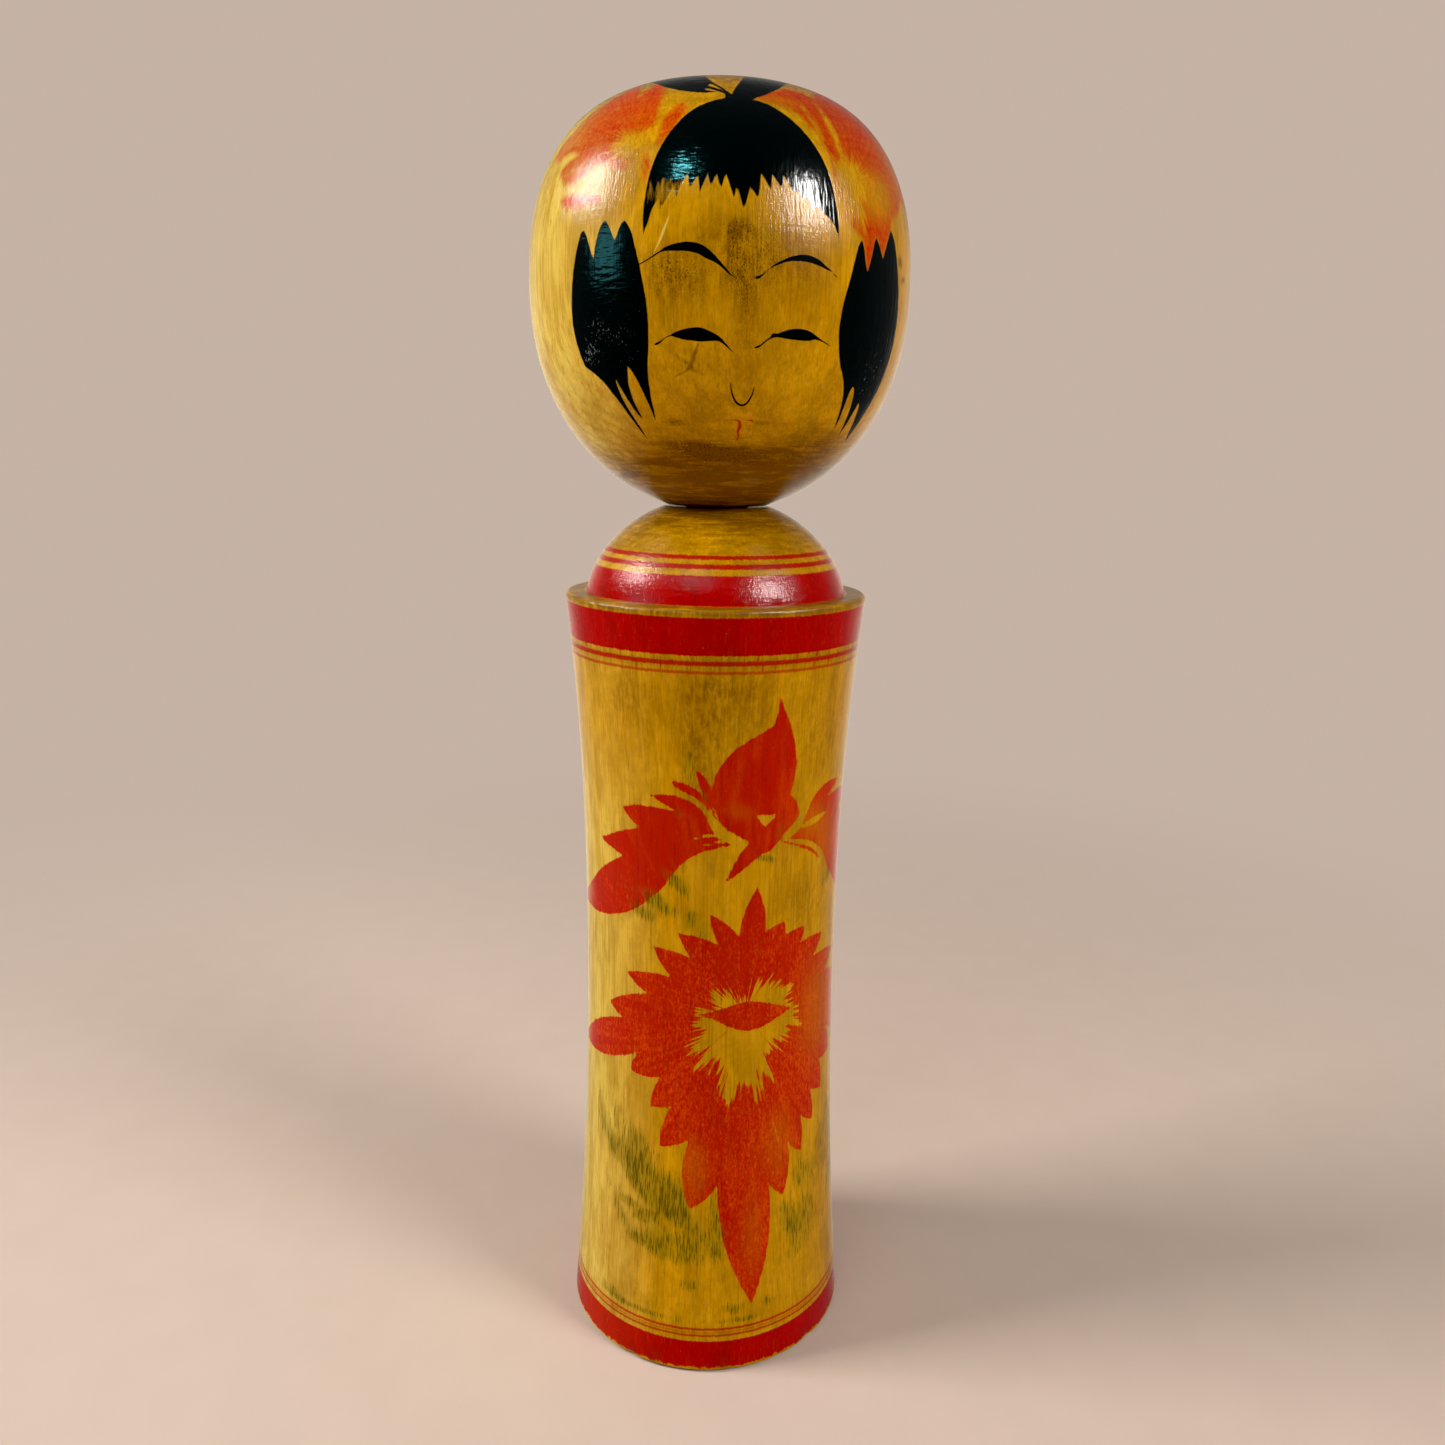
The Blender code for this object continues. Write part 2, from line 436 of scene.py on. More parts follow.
LEFT_LOCK = [
    [(-39.3, 269.1), (-37.9, 267.6), (-36.8, 265.5)],
    [(-35.5, 263.2), (-34.6, 266.6), (-33.3, 269.2)],
    [(-31.8, 270.4), (-30.5, 269.3), (-29.4, 267.8)],
    [(-28.4, 266.3), (-27.4, 268.3), (-26.4, 269.6)],
    [(-25.4, 270), (-23.5, 267.9), (-22.1, 264.5), (-20.7, 260.5), (-19.4, 255.5), (-19, 250.5),
     (-19.4, 246.5), (-20.4, 242), (-20.8, 237), (-20.6, 233.5)],
    [(-20.7, 230.7), (-21.8, 234.6), (-23.5, 238.3), (-25.2, 241.2)],
    [(-26.8, 242.8), (-27.6, 239.5), (-27.3, 236.8), (-26.6, 234.8)],
    [(-25.2, 232.1), (-27.3, 233.8), (-29.2, 236.2), (-30.8, 238.6)],
    [(-32.1, 240.7), (-31.6, 238), (-30.7, 235.7), (-29.1, 233.2), (-27.8, 231.2), (-26.9, 229.7)],
    [(-25.9, 227.9), (-27.5, 229.5), (-28.9, 231.3), (-30.7, 233.3), (-32.9, 236), (-34.9, 238),
     (-37.1, 240), (-40.5, 241.9)],
    [(-43, 243), (-44, 245.5), (-44.8, 249), (-45, 252), (-44.4, 256.5), (-43.1, 262),
     (-41.3, 266.6), (-40.3, 268.4)],
]
RIGHT_LOCK = [
    [(42, 268.4), (42.8, 266.8), (43.5, 264.6)],
    [(44.4, 262.1), (46, 265.3), (47.2, 268)],
    [(48.2, 269.3), (49.6, 268), (50.6, 266.6)],
    [(51.4, 265.5), (53, 267.8), (54.7, 269.9)],
    [(56.4, 271.7), (58.5, 269.5), (60.3, 265.5), (62.2, 260.5), (63.6, 255), (64, 249.5),
     (63.7, 244), (62.8, 240), (61.6, 236.5), (60.6, 233.5)],
    [(59.2, 228.6), (57.2, 230.6), (55.7, 233.5), (54.3, 236)],
    [(53.2, 236.9), (52.5, 234.5), (52, 232)],
    [(51.4, 229.6), (50.5, 232.5), (49.4, 236), (48, 239)],
    [(46.6, 240.1), (45.9, 238.5), (46.1, 235.5), (46.5, 233)],
    [(46.4, 230.3), (45.4, 233.2), (44.2, 236.3), (42.3, 239.7)],
    [(40, 242.3), (38, 244.3), (36.4, 247.2), (35.5, 250.3), (35.5, 253), (36, 256),
     (37.3, 259.3), (38.9, 263.2), (40.5, 266.8)],
]
FRINGE_TEETH = [  # tips and notches in turn, from the right end to the left end
    (22.6, 273.7), (21.3, 276.1), (20.2, 275.2), (17.3, 278.4), (16.6, 275.9), (14.1, 278.4),
    (13.6, 275.4), (11.1, 278.5), (10.2, 273.7), (8.1, 275.9), (6.4, 271.4), (4.5, 276),
    (3.9, 273.2), (1.6, 278.3), (0.3, 274.9), (-0.9, 278.3), (-2.3, 275.4), (-3.2, 278.2),
    (-5.1, 274.6), (-5.8, 278), (-8, 275), (-8.4, 278.5),
]
FRINGE = [
    [(-20, 267), (-20.3, 270.5), (-19.9, 274.5), (-19.1, 278.5), (-17.7, 282), (-15.2, 285.7),
     (-12.1, 288.7), (-8.8, 290.8), (-5, 292.2), (-1.5, 293), (1.4, 293.5)],
    [(3, 294.5)],
    [(8.8, 293.5), (13, 293), (17, 292), (21.5, 290), (25.5, 287.3), (28.5, 284.4),
     (30.8, 281), (32.1, 277.5), (32.9, 273.5), (33.5, 270)],
    [(33.4, 266.6), (32.9, 268.6), (31.6, 270.4), (28.8, 272.1), (26.6, 273.1)],
    [(25.5, 272)],
    [(23.8, 274.8)],
    *[[tooth] for tooth in FRINGE_TEETH],
    [(-8.4, 278.4), (-10.2, 276)],
    [(-11.7, 272.8)],
    [(-12.2, 275.7), (-14.1, 273.4)],
    [(-15.6, 271.5)],
    [(-15.7, 274.2), (-17.7, 271.8), (-18.6, 269.7)],
]

# The tied hair on the crown, in plan: (x, y) in millimetres

LEFT_TUFT = [
    [(0.9, -33.8), (0.2, -32.7), (-4, -32.4), (-8, -30.8), (-11.2, -28), (-13.2, -24.5),
     (-14.8, -19.5), (-14.6, -13), (-11.5, -8.5), (-7.6, -9.5), (-5.2, -14), (-4.2, -19.5),
     (-3.4, -24.5), (-2, -28.6), (0, -31)],
    [(1.9, -32.9)],
]
RIGHT_TUFT = [
    [(1.9, -33.8), (2.5, -31.6), (3.6, -28.5), (4.4, -24.5), (5, -19), (6.6, -12),
     (10, -7.5), (13.6, -10.5), (14.2, -17.5), (12.9, -23.5), (11.5, -27.6), (9.2, -30.9),
     (7.2, -32.6), (5.3, -33.7)],
]
KNOT = [[(0.6, -34.6), (0.9, -33.3)], [(2.1, -33.5)], [(5.4, -33.3), (5.2, -34.6)]]
TUFT_GAPS = [
    [[(0.6, -32.9)], [(-3.4, -31.7)], [(-3, -31.2)]],
    [[(0.4, -32.1)], [(-2.8, -30.3)], [(-2.2, -29.7)]],
]

# Fine ink lines: (azimuth, height, half width)

FACE_LINES = [
    [(-21.4, 261.6, 0.12), (-19, 262.4, 0.12), (-17, 263.2, 0.14), (-15, 264, 0.18),
     (-13.5, 264.4, 0.40), (-11, 264.65, 0.70), (-8, 264.75, 0.88), (-5, 264.3, 0.92),
     (-2.5, 263.2, 0.78), (-0.5, 262.2, 0.45), (1.5, 260.9, 0.24), (3, 259.8, 0.14), (4.5, 259.1, 0.04)],
    [(9.4, 259.3, 0.16), (10.3, 259.35, 0.28), (11.4, 259.8, 0.16), (12.8, 260.7, 0.05),
     (14.2, 261.5, 0.12), (16, 262.2, 0.24), (18, 262.8, 0.32), (20, 263.2, 0.48),
     (22.5, 263.4, 0.64), (25, 263.25, 0.66), (27.5, 262.7, 0.50), (29.5, 262, 0.28), (31.5, 261.4, 0.08)],
    [(31.9, 261, 0.03), (32.6, 260.75, 0.12), (33.4, 260.4, 0.04)],
    [(-17.6, 246.8, 0.12), (-16.8, 246.95, 0.24), (-15.6, 247.4, 0.14), (-14.2, 248.1, 0.08),
     (-12.6, 248.5, 0.16), (-11.4, 248.6, 0.50), (-9, 248.65, 1), (-7, 248.7, 1.2), (-5, 248.65, 1.34),
     (-3, 248.45, 1.08), (-1.2, 248.2, 0.74), (0.3, 247.9, 0.46), (1.5, 247.3, 0.28), (3, 246.3, 0.15),
     (4.4, 245.4, 0.04)],
    [(10.2, 246.4, 0.10), (11, 246.55, 0.22), (12.1, 247, 0.14), (13.4, 247.8, 0.14), (14.7, 248.4, 0.20),
     (15.3, 248.8, 0.42), (16.6, 248.85, 0.36), (18, 249, 0.62), (20, 249.15, 0.94), (22, 249.2, 1.08),
     (24, 249.15, 1.08), (26, 249, 0.86), (27.7, 248.85, 0.42), (29.3, 248.5, 0.20),
     (31.2, 248, 0.11), (33.4, 247.4, 0.04)],
    [(4, 239.8, 0.05), (4.3, 238.4, 0.13), (5, 237, 0.18), (6.2, 235.9, 0.21), (7.7, 235.45, 0.21),
     (9.2, 235.8, 0.20), (10.3, 236.9, 0.18), (10.9, 238, 0.13), (11.1, 239.3, 0.05)],
]
MOUTH = [
    [(2.4, 232.6, 0.02), (4.5, 232.5, 0.09), (6.6, 232.6, 0.12), (8, 232.3, 0.10)],
    [(7.3, 232.4, 0.20), (7.9, 231.4, 0.36), (7.4, 230.2, 0.26), (7.9, 229.2, 0.16), (7, 228.2, 0.08)],
    [(9.9, 232.5, 0.06), (11.3, 232.6, 0.20), (12.6, 232.3, 0.06)],
]

SCRATCHES = [
    [(-13, 270.4, 0.04), (-14.4, 267.8, 0.22), (-15.8, 265.4, 0.18), (-17, 263.7, 0.04)],
]
CRACKS = [
    [(-5.2, 247, 0.05), (-6.4, 244.9, 0.30), (-7.4, 243, 0.34), (-7.7, 241.9, 0.05)],
    [(-7.3, 243, 0.22), (-9.2, 241.7, 0.20), (-12.6, 240.7, 0.05)],
]

# Red flowers on the sides of the head: brush strokes round a bare heart

LEFT_BLOOM = [
    [(-21, 283.5), (-19.8, 287), (-19.4, 290), (-20.1, 293.5), (-22.2, 296.6), (-25.4, 298.8)],
    [(-28, 298.2), (-29.6, 296.6)],
    [(-30.8, 294.9), (-32.8, 296.6), (-36, 298.3), (-40, 298.6), (-44.5, 297.3)],
    [(-47, 295.3), (-50.5, 294.8), (-55, 293), (-59, 290.6), (-62, 287.8), (-62.6, 285.6),
     (-58, 284.4), (-52, 284.8)],
    [(-46.8, 284.2), (-51, 283.6), (-54.5, 281.9), (-52.5, 279.4), (-46, 278.2), (-41, 279.4)],
    [(-38, 281.6), (-33, 281), (-28, 280)],
]
RIGHT_BLOOM = [
    [(9.8, 293.7), (14, 294.9), (20, 296.2), (27, 297.2), (33, 297)],
    [(36, 296), (40, 297.8), (46, 299), (54, 299.2), (61, 298.6)],
    [(65, 297), (71, 297), (77, 294.8), (81, 291.5), (81.5, 289.5)],
    [(77, 288), (80.5, 285.5), (81, 282), (76, 279), (71, 278.4)],
    [(67, 278.6), (63, 275.8), (58.5, 274.4)],
    [(56.4, 271.4), (53.5, 268.6)],
    [(51.4, 265.4), (49.8, 267.8), (48.2, 269.2), (46.3, 266)],
    [(44.4, 262), (43.4, 265), (42.2, 268.4), (39.5, 270), (36.5, 271.5), (34.5, 274.5),
     (33.4, 279), (32.2, 283.5), (30.4, 286.8), (27.6, 289.4), (24, 291.4), (19, 292.8), (14, 293.4)],
]
HEAD_PETALS = [
    [(-34.5, 274.4, 0.4), (-39, 274.7, 1), (-44.5, 274.9, 1.5), (-49.5, 275.4, 0.8)],
    [(-17.6, 284.6, 0.6), (-16, 287.3, 1.7), (-13.8, 290.2, 1.9), (-12.8, 292, 0.8)],
    [(-20.6, 281.9, 0.4), (-20.2, 280, 0.9), (-20.6, 277.4, 0.3)],
]
BLOOM_GAPS = [
    [(37, 284, 0.5), (36.4, 289, 0.45), (35.2, 294.5, 0.15)],
    [(31.2, 286.8, 0.5), (29.5, 290, 0.35), (28, 293, 0.1)],
]
HEAD_HEARTS = [(-25, 284.6), (38.5, 279)]
HEAD_HEART_SIZES = [(4.8, 3, 6), (5.2, 5, 9)]  # half width, reach upwards, reach downwards

# Red painting on the body

UPPER_PETAL = [
    [(26, 174.8), (27.8, 170.8), (31.3, 166.6), (34, 162), (35.4, 157.5), (35, 153.5)],
    [(33.4, 150), (36, 148.2), (38.7, 145), (36.5, 142.8), (31, 140.2), (25.5, 136.9)],
    [(22, 136.2), (18.5, 138.6), (12, 140.6), (6, 143), (2.3, 146), (0.3, 149.5), (0.2, 153),
     (2.5, 157), (6.2, 160.1), (9.5, 162), (14, 163.8), (19, 165.3)],
    [(24, 167), (25.3, 169.5), (25.6, 172.3)],
]
PETAL_GAP = [[(18.2, 145.8)], [(27.2, 145.4)], [(22.2, 142.8)]]
SPUR = [
    [(5.5, 129.5), (9.5, 131), (14, 133), (19, 135.2)],
    [(24, 137.2)],
    [(16, 139.6), (11.5, 136.4), (8.6, 133)],
]
FAN = [
    [(8.5, 138.9), (3, 140.8), (0, 143.2), (-3, 146.8), (-7, 148.9), (-13, 150.3), (-19, 150.5)],
    [(-25.4, 149.9), (-21, 148.5), (-17, 147.5)],
    [(-13.2, 146.6), (-18, 147), (-25, 147.1), (-32, 146.9)],
    [(-39.4, 145.6), (-36, 143.5), (-33, 142.3)],
    [(-29.8, 141.5), (-37, 140.3), (-43, 139), (-49, 137.4)],
    [(-54.8, 135.9), (-50, 134.8), (-45, 134.2)],
    [(-40.3, 133.3), (-48, 130.7), (-56, 127.5), (-64, 123.6), (-71, 120.4), (-77, 118.2),
     (-79.5, 116.6), (-77, 115.4), (-70, 115.4), (-60, 115.7), (-50, 116.8), (-41, 118.6),
     (-33, 121), (-26, 124.3), (-20, 127.6), (-15.5, 131.3), (-11, 134.4), (-4, 137),
     (3, 138.2)],
]
FAN_MIRROR = 21.0
SIDE_STROKES = [
    [(0.8, 148.5, 0.9), (-2.5, 152.8, 1.2), (-4.5, 155.2, 0.8), (-6.4, 157, 0.05)],
    [(1, 147, 0.3), (-5.5, 150.9, 0.9), (-11, 152.5, 1.1), (-14, 153.2, 0.8), (-16, 154, 0.05)],
    [(7, 142.4, 0.2), (2, 145.6, 0.3), (-2, 148, 0.2)],
    [(29, 139, 0.3), (37, 137.2, 0.3), (46, 135, 0.5), (54, 131.5, 0.3)],
]
FAN_GAPS = [
    [(-6.5, 140.4, 0.12), (-1, 141.3, 0.30), (5, 141.2, 0.12)],
    [(-3, 138.9, 0.10), (3, 139.6, 0.24), (8, 139.6, 0.10)],
    [(41, 141.2, 0.4), (47, 141.8, 0.8), (53, 142.4, 0.6), (58, 142.9, 0.1)],
]
SPINDLE = [
    [(-6, 96.3), (3, 97.6), (11, 99), (18, 99.5), (27, 98)],
    [(39, 95.3), (31, 93.7), (23.5, 92.2), (16, 91.8), (9, 93.2), (2, 95.3)],
]
# Chrysanthemum: each petal's tip, how blunt the tip is in millimetres, and the notch after it
CHRYSANTHEMUM = [
    ((20, 128.2), 0, (12.3, 116.4)),
    ((0, 122), 0, (3.8, 114.3)),
    ((-13.2, 116.8), 0, (-7.3, 110.6)),
    ((-24.4, 112.4), 0.1, (-15.8, 105.3)),
    ((-38.5, 104.1), 0.1, (-26.6, 99.9)),
    ((-49.8, 94), 0.2, (-41.2, 91.5)),
    ((-77.5, 77.6), 1.3, (-30.5, 84.4)),
    ((-36.4, 78.6), 1.2, (-20.8, 78.9)),
    ((-25, 70.4), 1.2, (-15.3, 71.9)),
    ((-20.6, 60.4), 0.7, (-7.7, 63.4)),
    ((-6.7, 44.9), 1.6, (5, 52)),
    ((19.8, 17.8), 0, (27.6, 50)),
    ((35, 45), 0.3, (38, 59)),
    ((45.4, 54.8), 0.3, (45.2, 65)),
    ((53.8, 61.5), 0.3, (52.3, 70.4)),
    ((62, 68.2), 0.4, (60, 76.6)),
    ((73, 76.4), 0.5, (68, 83.5)),
    ((113, 78), 1.3, (77, 91.6)),
    ((86, 94.5), 0.2, (63, 100.2)),
    ((74, 104.4), 0.1, (51.5, 106.2)),
    ((59.5, 111.3), 0.1, (42.6, 111.5)),
    ((45.6, 115.5), 0, (34.6, 114.8)),
    ((33.4, 118.3), 0, (24, 116.6)),
]
HEART = (15.5, 96)  # where the bare heart's rays start, and its outline: tips and notches in turn
BARE_HEART = [
    (-6, 98), (-3.6, 99.3), (0.5, 98.6), (2.2, 102), (6.4, 100.6), (9, 103.8), (12.4, 99.6), (15.2, 100.6),
    (17.6, 99.8), (20.4, 104.4), (23, 103.2), (25.6, 104.6), (28, 103), (31.4, 103.2), (33.4, 101.6),
    (37.4, 101.6), (37, 98.6), (39.8, 96.6), (42.4, 93.6), (44.2, 89.8), (37.2, 90.8), (35, 84.4),
    (29, 86.2), (25.6, 84.2), (27.4, 79), (22.8, 80.2), (22.2, 72.6), (19.2, 76), (16.4, 77.4), (13, 72),
    (11.2, 77), (8.6, 74.4), (5.2, 74.8), (4.8, 80), (3.6, 84.6), (0.2, 79), (1.4, 84.8), (-5, 81.8),
    (-1.6, 86.4), (-7.4, 85.8), (-8.6, 88.6), (-3.6, 91.6), (-6.8, 94), (-3, 95.6),
]
PETAL_BULGE = 0.07  # how far a petal's edge bows out, as a share of its length


def chrysanthemum():
    """The flower's outline from its petals, drawn in millimetres on the unrolled side."""
    per_degree = radians(1) * WAIST_RADIUS
    outline = []
    before = CHRYSANTHEMUM[-1][2]
    for tip, blunt, after in CHRYSANTHEMUM:
        a, t, b = (np.array([p[0] * per_degree, p[1]]) for p in (before, tip, after))
        ahead = t - (a + b) / 2
        ahead /= np.hypot(*ahead)
        across = np.array([-ahead[1], ahead[0]])
        if np.dot(a - b, across) < 0:
            across = -across
        shoulder = t - blunt * ahead
        for start, end, side in ((a, shoulder + blunt * across, 1), (shoulder - blunt * across, b, -1)):
            length = np.hypot(*(end - start))
            for share in np.linspace(0, 1, 9)[: -1 if side < 0 else None]:
                bow = 4 * PETAL_BULGE * length * share * (1 - share)
                outline.append(start + (end - start) * share + side * across * bow)
            if side > 0 and blunt > 0:
                outline.append(t)
        before = after
    outline = np.array(outline)
    outline[:, 0] /= per_degree
    return outline


# Soft patches: azimuth, height, half sizes across and along, strength, and the tilt if there is one

# Faded red; the patch at azimuth -46 also thins the red as a painted highlight, where the wax shines
HEAD_FADING_AND_SHEEN = [
    (50, 277.5, 7, 5, 0.85), (70, 284, 8, 8, 0.4), (-46, 281, 7, 3, 0.25), (-57, 290, 6, 8, 0.3),
    (19, 293.5, 5, 2, 0.4),
]
LOCK_SCUFFS = [
    (-40, 245, 3.5, 2.2, 1, -20), (-35, 250, 5, 4, 0.7), (-25, 247, 4, 8, 0.5), (54, 243, 5, 8, 0.6),
]
DRY_STROKE = (-14, 274.8, 4.6, 2.6, 0.85, -12)  # where the fringe was brushed with little ink
# Dirt on the head, and painted shade: under the chin towards the neck, and down the far left side at azimuth
# -92
HEAD_GRIME_AND_SHADE = [
    (5.5, 268, 2.6, 2, 0.8), (4.5, 262, 2, 6, 0.35), (8, 250, 2.2, 12, 0.35), (-2, 262, 13, 9, 0.42),
    (20, 263, 12, 8, 0.40), (-14, 260, 6, 5, 0.4), (-14, 231.8, 3, 0.7, 0.9),
    (-9, 243.5, 3.5, 0.35, 0.55, 35), (-7, 242, 2.6, 0.3, 0.45, 20), (15, 232.2, 1.8, 0.5, 0.7),
    (-5, 226.5, 9, 2, 0.9, 8), (12, 225, 16, 3, 0.7), (-92, 252, 8, 24, 0.35),
    (63, 266, 1.6, 1.1, 0.9, 20), (66, 262.6, 1.6, 0.9, 0.8), (40, 228, 8, 6, 0.4),
    (-25, 222, 14, 4, 0.5), (120, 250, 18, 20, 0.3), (-150, 240, 16, 16, 0.35),
]
BODY_GRIME = [
    (-4, 168, 6, 11, 0.50), (14, 170, 8, 8, 0.30), (-6, 152, 4, 8, 0.45), (-33, 173, 6, 6, 0.35),
    (50, 165, 8, 12, 0.25), (45, 122, 7, 7, 0.25), (8, 176, 14, 3, 0.30), (150, 60, 14, 30, 0.35),
    (-130, 140, 12, 25, 0.35), (180, 170, 20, 8, 0.4),
]
BODY_FADING = [
    (45, 142, 5, 5, 0.35), (58, 136, 6, 8, 0.30), (-72, 120, 4, 4, 0.15), (11, 147, 3.6, 2, 0.15, 20),
    (60, 92, 10, 14, 0.30), (20, 36, 3, 12, 0.15), (-6, 55, 4, 8, 0.20), (33, 60, 5, 10, 0.18),
]
UPPER_LEAF = [
    [(-58.5, 67), (-52.8, 70.5), (-42.7, 67.8), (-33.9, 64.8), (-28.8, 62), (-22.5, 59),
     (-15, 55.3), (-9.5, 51)],
    [(-6, 40), (-12, 40.4), (-18.8, 41.7), (-27.6, 44.6), (-33.9, 46.9), (-40.2, 50.3), (-49.6, 55.3),
     (-54.7, 58.8), (-58, 62.5)],
]
LOWER_LEAF = [
    [(-52, 46.6), (-45, 46.2), (-38, 45.6), (-32, 43.4), (-26, 41.4), (-19, 40.6)],
    [(-8, 41), (0, 38), (5, 34.5), (3.5, 30.5), (-8, 29.5), (-20, 29.6), (-30, 31.6),
     (-38, 34.6), (-43, 38), (-47, 42)],
]
LEAF_MIRROR = 20.0
LEAF_STRENGTH = 0.36
LEAF_EDGE = 2.4  # width of a leaf's soft edge
GREEN_MARKS = [
    (-51, 58.5, 3, 6, 0.35, -30), (-40, 55, 5, 5, 0.20, -38), (-30, 51.5, 5, 5.5, 0.50, -38),
    (-22, 47.5, 5, 5, 0.75, -38), (-14, 45.5, 4, 4, 0.55, -30), (-31, 61, 2.4, 2.6, 0.30),
    (-20.5, 50, 1.6, 1.8, 0.70), (-36, 42.6, 3, 1.4, 0.70), (-26, 40.6, 3.2, 1.6, 1.10, -15),
    (-31, 33.4, 3, 1.6, 0.70, -10), (-23, 35.5, 2, 4, 0.55), (-13, 34, 6, 4, 0.45, -5),
    (-7, 41, 3, 3, 0.45), (5, 37, 3, 6, 0.60), (3.5, 45.5, 1.4, 4, 0.50), (-6, 24, 3.2, 2.4, 0.60),
    (11, 17.5, 3.6, 1.6, 0.70), (27, 17.4, 2.2, 1.6, 0.65), (40, 38, 4, 7, 0.55, -40),
    (42, 28, 3, 2.4, 0.60, -45), (47, 48, 4, 5, 0.45), (-30, 14.2, 12, 0.9, 0.70),
    (12, 14, 8, 0.8, 0.60), (-45, 15.5, 4, 1.4, 0.50), (-14.5, 129.5, 5, 1.6, 0.95, 42),
    (-23, 124, 5, 2.2, 0.90, 34), (-30, 120.5, 4, 1.6, 0.70, 22), (-7.5, 120.5, 2, 3.4, 0.60),
    (-2, 117.5, 1.4, 2.2, 0.45), (23.5, 135, 2.8, 0.9, 1.10, 15), (-3.2, 151.2, 0.9, 1.8, 0.90, -30),
    (-38, 127, 7, 3, 0.20, 25), (-9, 157, 1.6, 4, 0.55), (-13, 146, 2, 1.2, 0.50),
    (30, 140.5, 2.5, 2.5, 0.35), (64, 127, 6, 1.6, 0.60, -40),
]


# ---------------------------------------------------------------- node helpers


class Nodes:
    """Builds a node tree from short calls. A value is a number, a tuple or an output socket."""

    def __init__(self, tree):
        self.tree = tree

    def add(self, kind, output=0, **settings):
        node = self.tree.nodes.new("ShaderNode" + kind)
        inputs = settings.pop("inputs", {})
        for key, value in settings.items():
            setattr(node, key, value)
        for key, value in inputs.items():
            self.feed(node.inputs[key], value)
        return node.outputs[output]

    def feed(self, socket, value):
        if isinstance(value, bpy.types.NodeSocket):
            self.tree.links.new(value, socket)
        else:
            socket.default_value = value

    def math(self, operation, a, b=0.0, clamp=False):
        return self.add("Math", operation=operation, use_clamp=clamp, inputs={0: a, 1: b})

    def plus(self, *terms):
        total = terms[0]
        for term in terms[1:]:
            total = self.math("ADD", total, term)
        return total

    def minus(self, a, b):
        return self.math("SUBTRACT", a, b)

    def times(self, *factors):
        total = factors[0]
        for factor in factors[1:]:
            total = self.math("MULTIPLY", total, factor)
        return total

    def rest(self, a):
        """What a leaves of 1."""
        return self.minus(1.0, a)

    def swing(self, noise, size):
        """A noise turned into a value that swings about zero by roughly this size."""
        return self.times(self.minus(noise, 0.5), 4.0 * size)

    def spread(self, value, low, high, to_low=0.0, to_high=1.0):
        inputs = {0: value, 1: low, 2: high, 3: to_low, 4: to_high}
        return self.add("MapRange", interpolation_type="SMOOTHSTEP", inputs=inputs)

    def mixed(self, share, a, b):
        return self.add("Mix", output=2, data_type="RGBA", inputs={0: share, 6: a, 7: b})

    def vector(self, x, y, z):
        return self.add("CombineXYZ", inputs={0: x, 1: y, 2: z})

    def parts(self, vector):
        """A vector's x, y and z."""
        return self.add("SeparateXYZ", inputs={0: vector}).node.outputs

    def noise(self, place, detail=3.0, roughness=0.5, scale=1.0):
        inputs = {"Vector": place, "Scale": scale, "Detail": detail, "Roughness": roughness}
        return self.add("TexNoise", inputs=inputs)

    def stored(self, name):
        return self.add("Attribute", output=2, attribute_name=name, attribute_type="GEOMETRY")


def new_material(name):
    """A material, its shader and the helper that builds its nodes."""
    material = bpy.data.materials.new(name)
    material.use_nodes = True
    return material, material.node_tree.nodes["Principled BSDF"], Nodes(material.node_tree)


# Noises that every layer of the paint shares: scale across the axis and along it, detail, roughness
SHARED_NOISES = {
    "fibre": (1.5, 0.10, 5.0, 0.62),
    "hair": (3.4, 0.22, 3.0, 0.6),
    "streak": (0.42, 0.02, 3.0, 0.5),
    "blotch": (0.060, 0.035, 3.0, 0.55),
    "cloud": (0.21, 0.08, 5.0, 0.55),
    "grain": (2.3, 0.040, 3.0, 0.55),
    "smear": (0.10, 1.2, 4.0, 0.65),
    "grit": (2.1, 0.80, 3.0, 0.7),
    "mottle": (0.75, 0.45, 4.0, 0.7),
    "fine": (1.9, 1.1, 3.0, 0.7),
    "speck": (3.4, 2.4, 2.0, 0.5),
    "chatter": (0.03, 2.8, 2.0, 0.6),
}


class Wood:
    """Places and noises that every layer of one material shares. Distances are in millimetres."""

    def __init__(self, n):
        self.n = n
        place = n.add("TexCoord", output=3)
        scaled = n.add("VectorMath", operation="SCALE", inputs={0: place, "Scale": 1 / MM})
        self.x, self.y, self.z = n.parts(scaled)
        for name, settings in SHARED_NOISES.items():
            setattr(self, name, self.noise(*settings))

    def noise(self, across, along, detail, roughness=0.5):
        """A noise with its own scale across the axis and along it."""
        n = self.n
        place = n.vector(n.times(self.x, across), n.times(self.y, across), n.times(self.z, along))
        return n.noise(place, detail, roughness)


# Linear colours
OCHRE = (0.70, 0.335, 0.0015, 1)
PALE_OCHRE = (0.80, 0.60, 0.115, 1)
OLIVE = (0.47, 0.225, 0.0012, 1)
BROWN = (0.29, 0.108, 0.0012, 1)
DIRT_AND_SHADE_BROWN = (0.175, 0.066, 0.0012, 1)
GRIME_BROWN = (0.065, 0.026, 0.002, 1)
DEEP_RED = (0.47, 0.0010, 0.0006, 1)
DARK_RED = (0.27, 0.0006, 0.0004, 1)
VERMILION = (0.72, 0.070, 0.0015, 1)
INK = (0.0015, 0.0032, 0.0032, 1)
DUST = (0.20, 0.24, 0.23, 1)
LEAF_OLIVE = (0.30, 0.200, 0.0040, 1)
LEAF_DARK = (0.050, 0.044, 0.0020, 1)

RING_SPACING = 2.1
PITH = (-7.0, 10.0)  # the growth rings' middle, off the turning axis


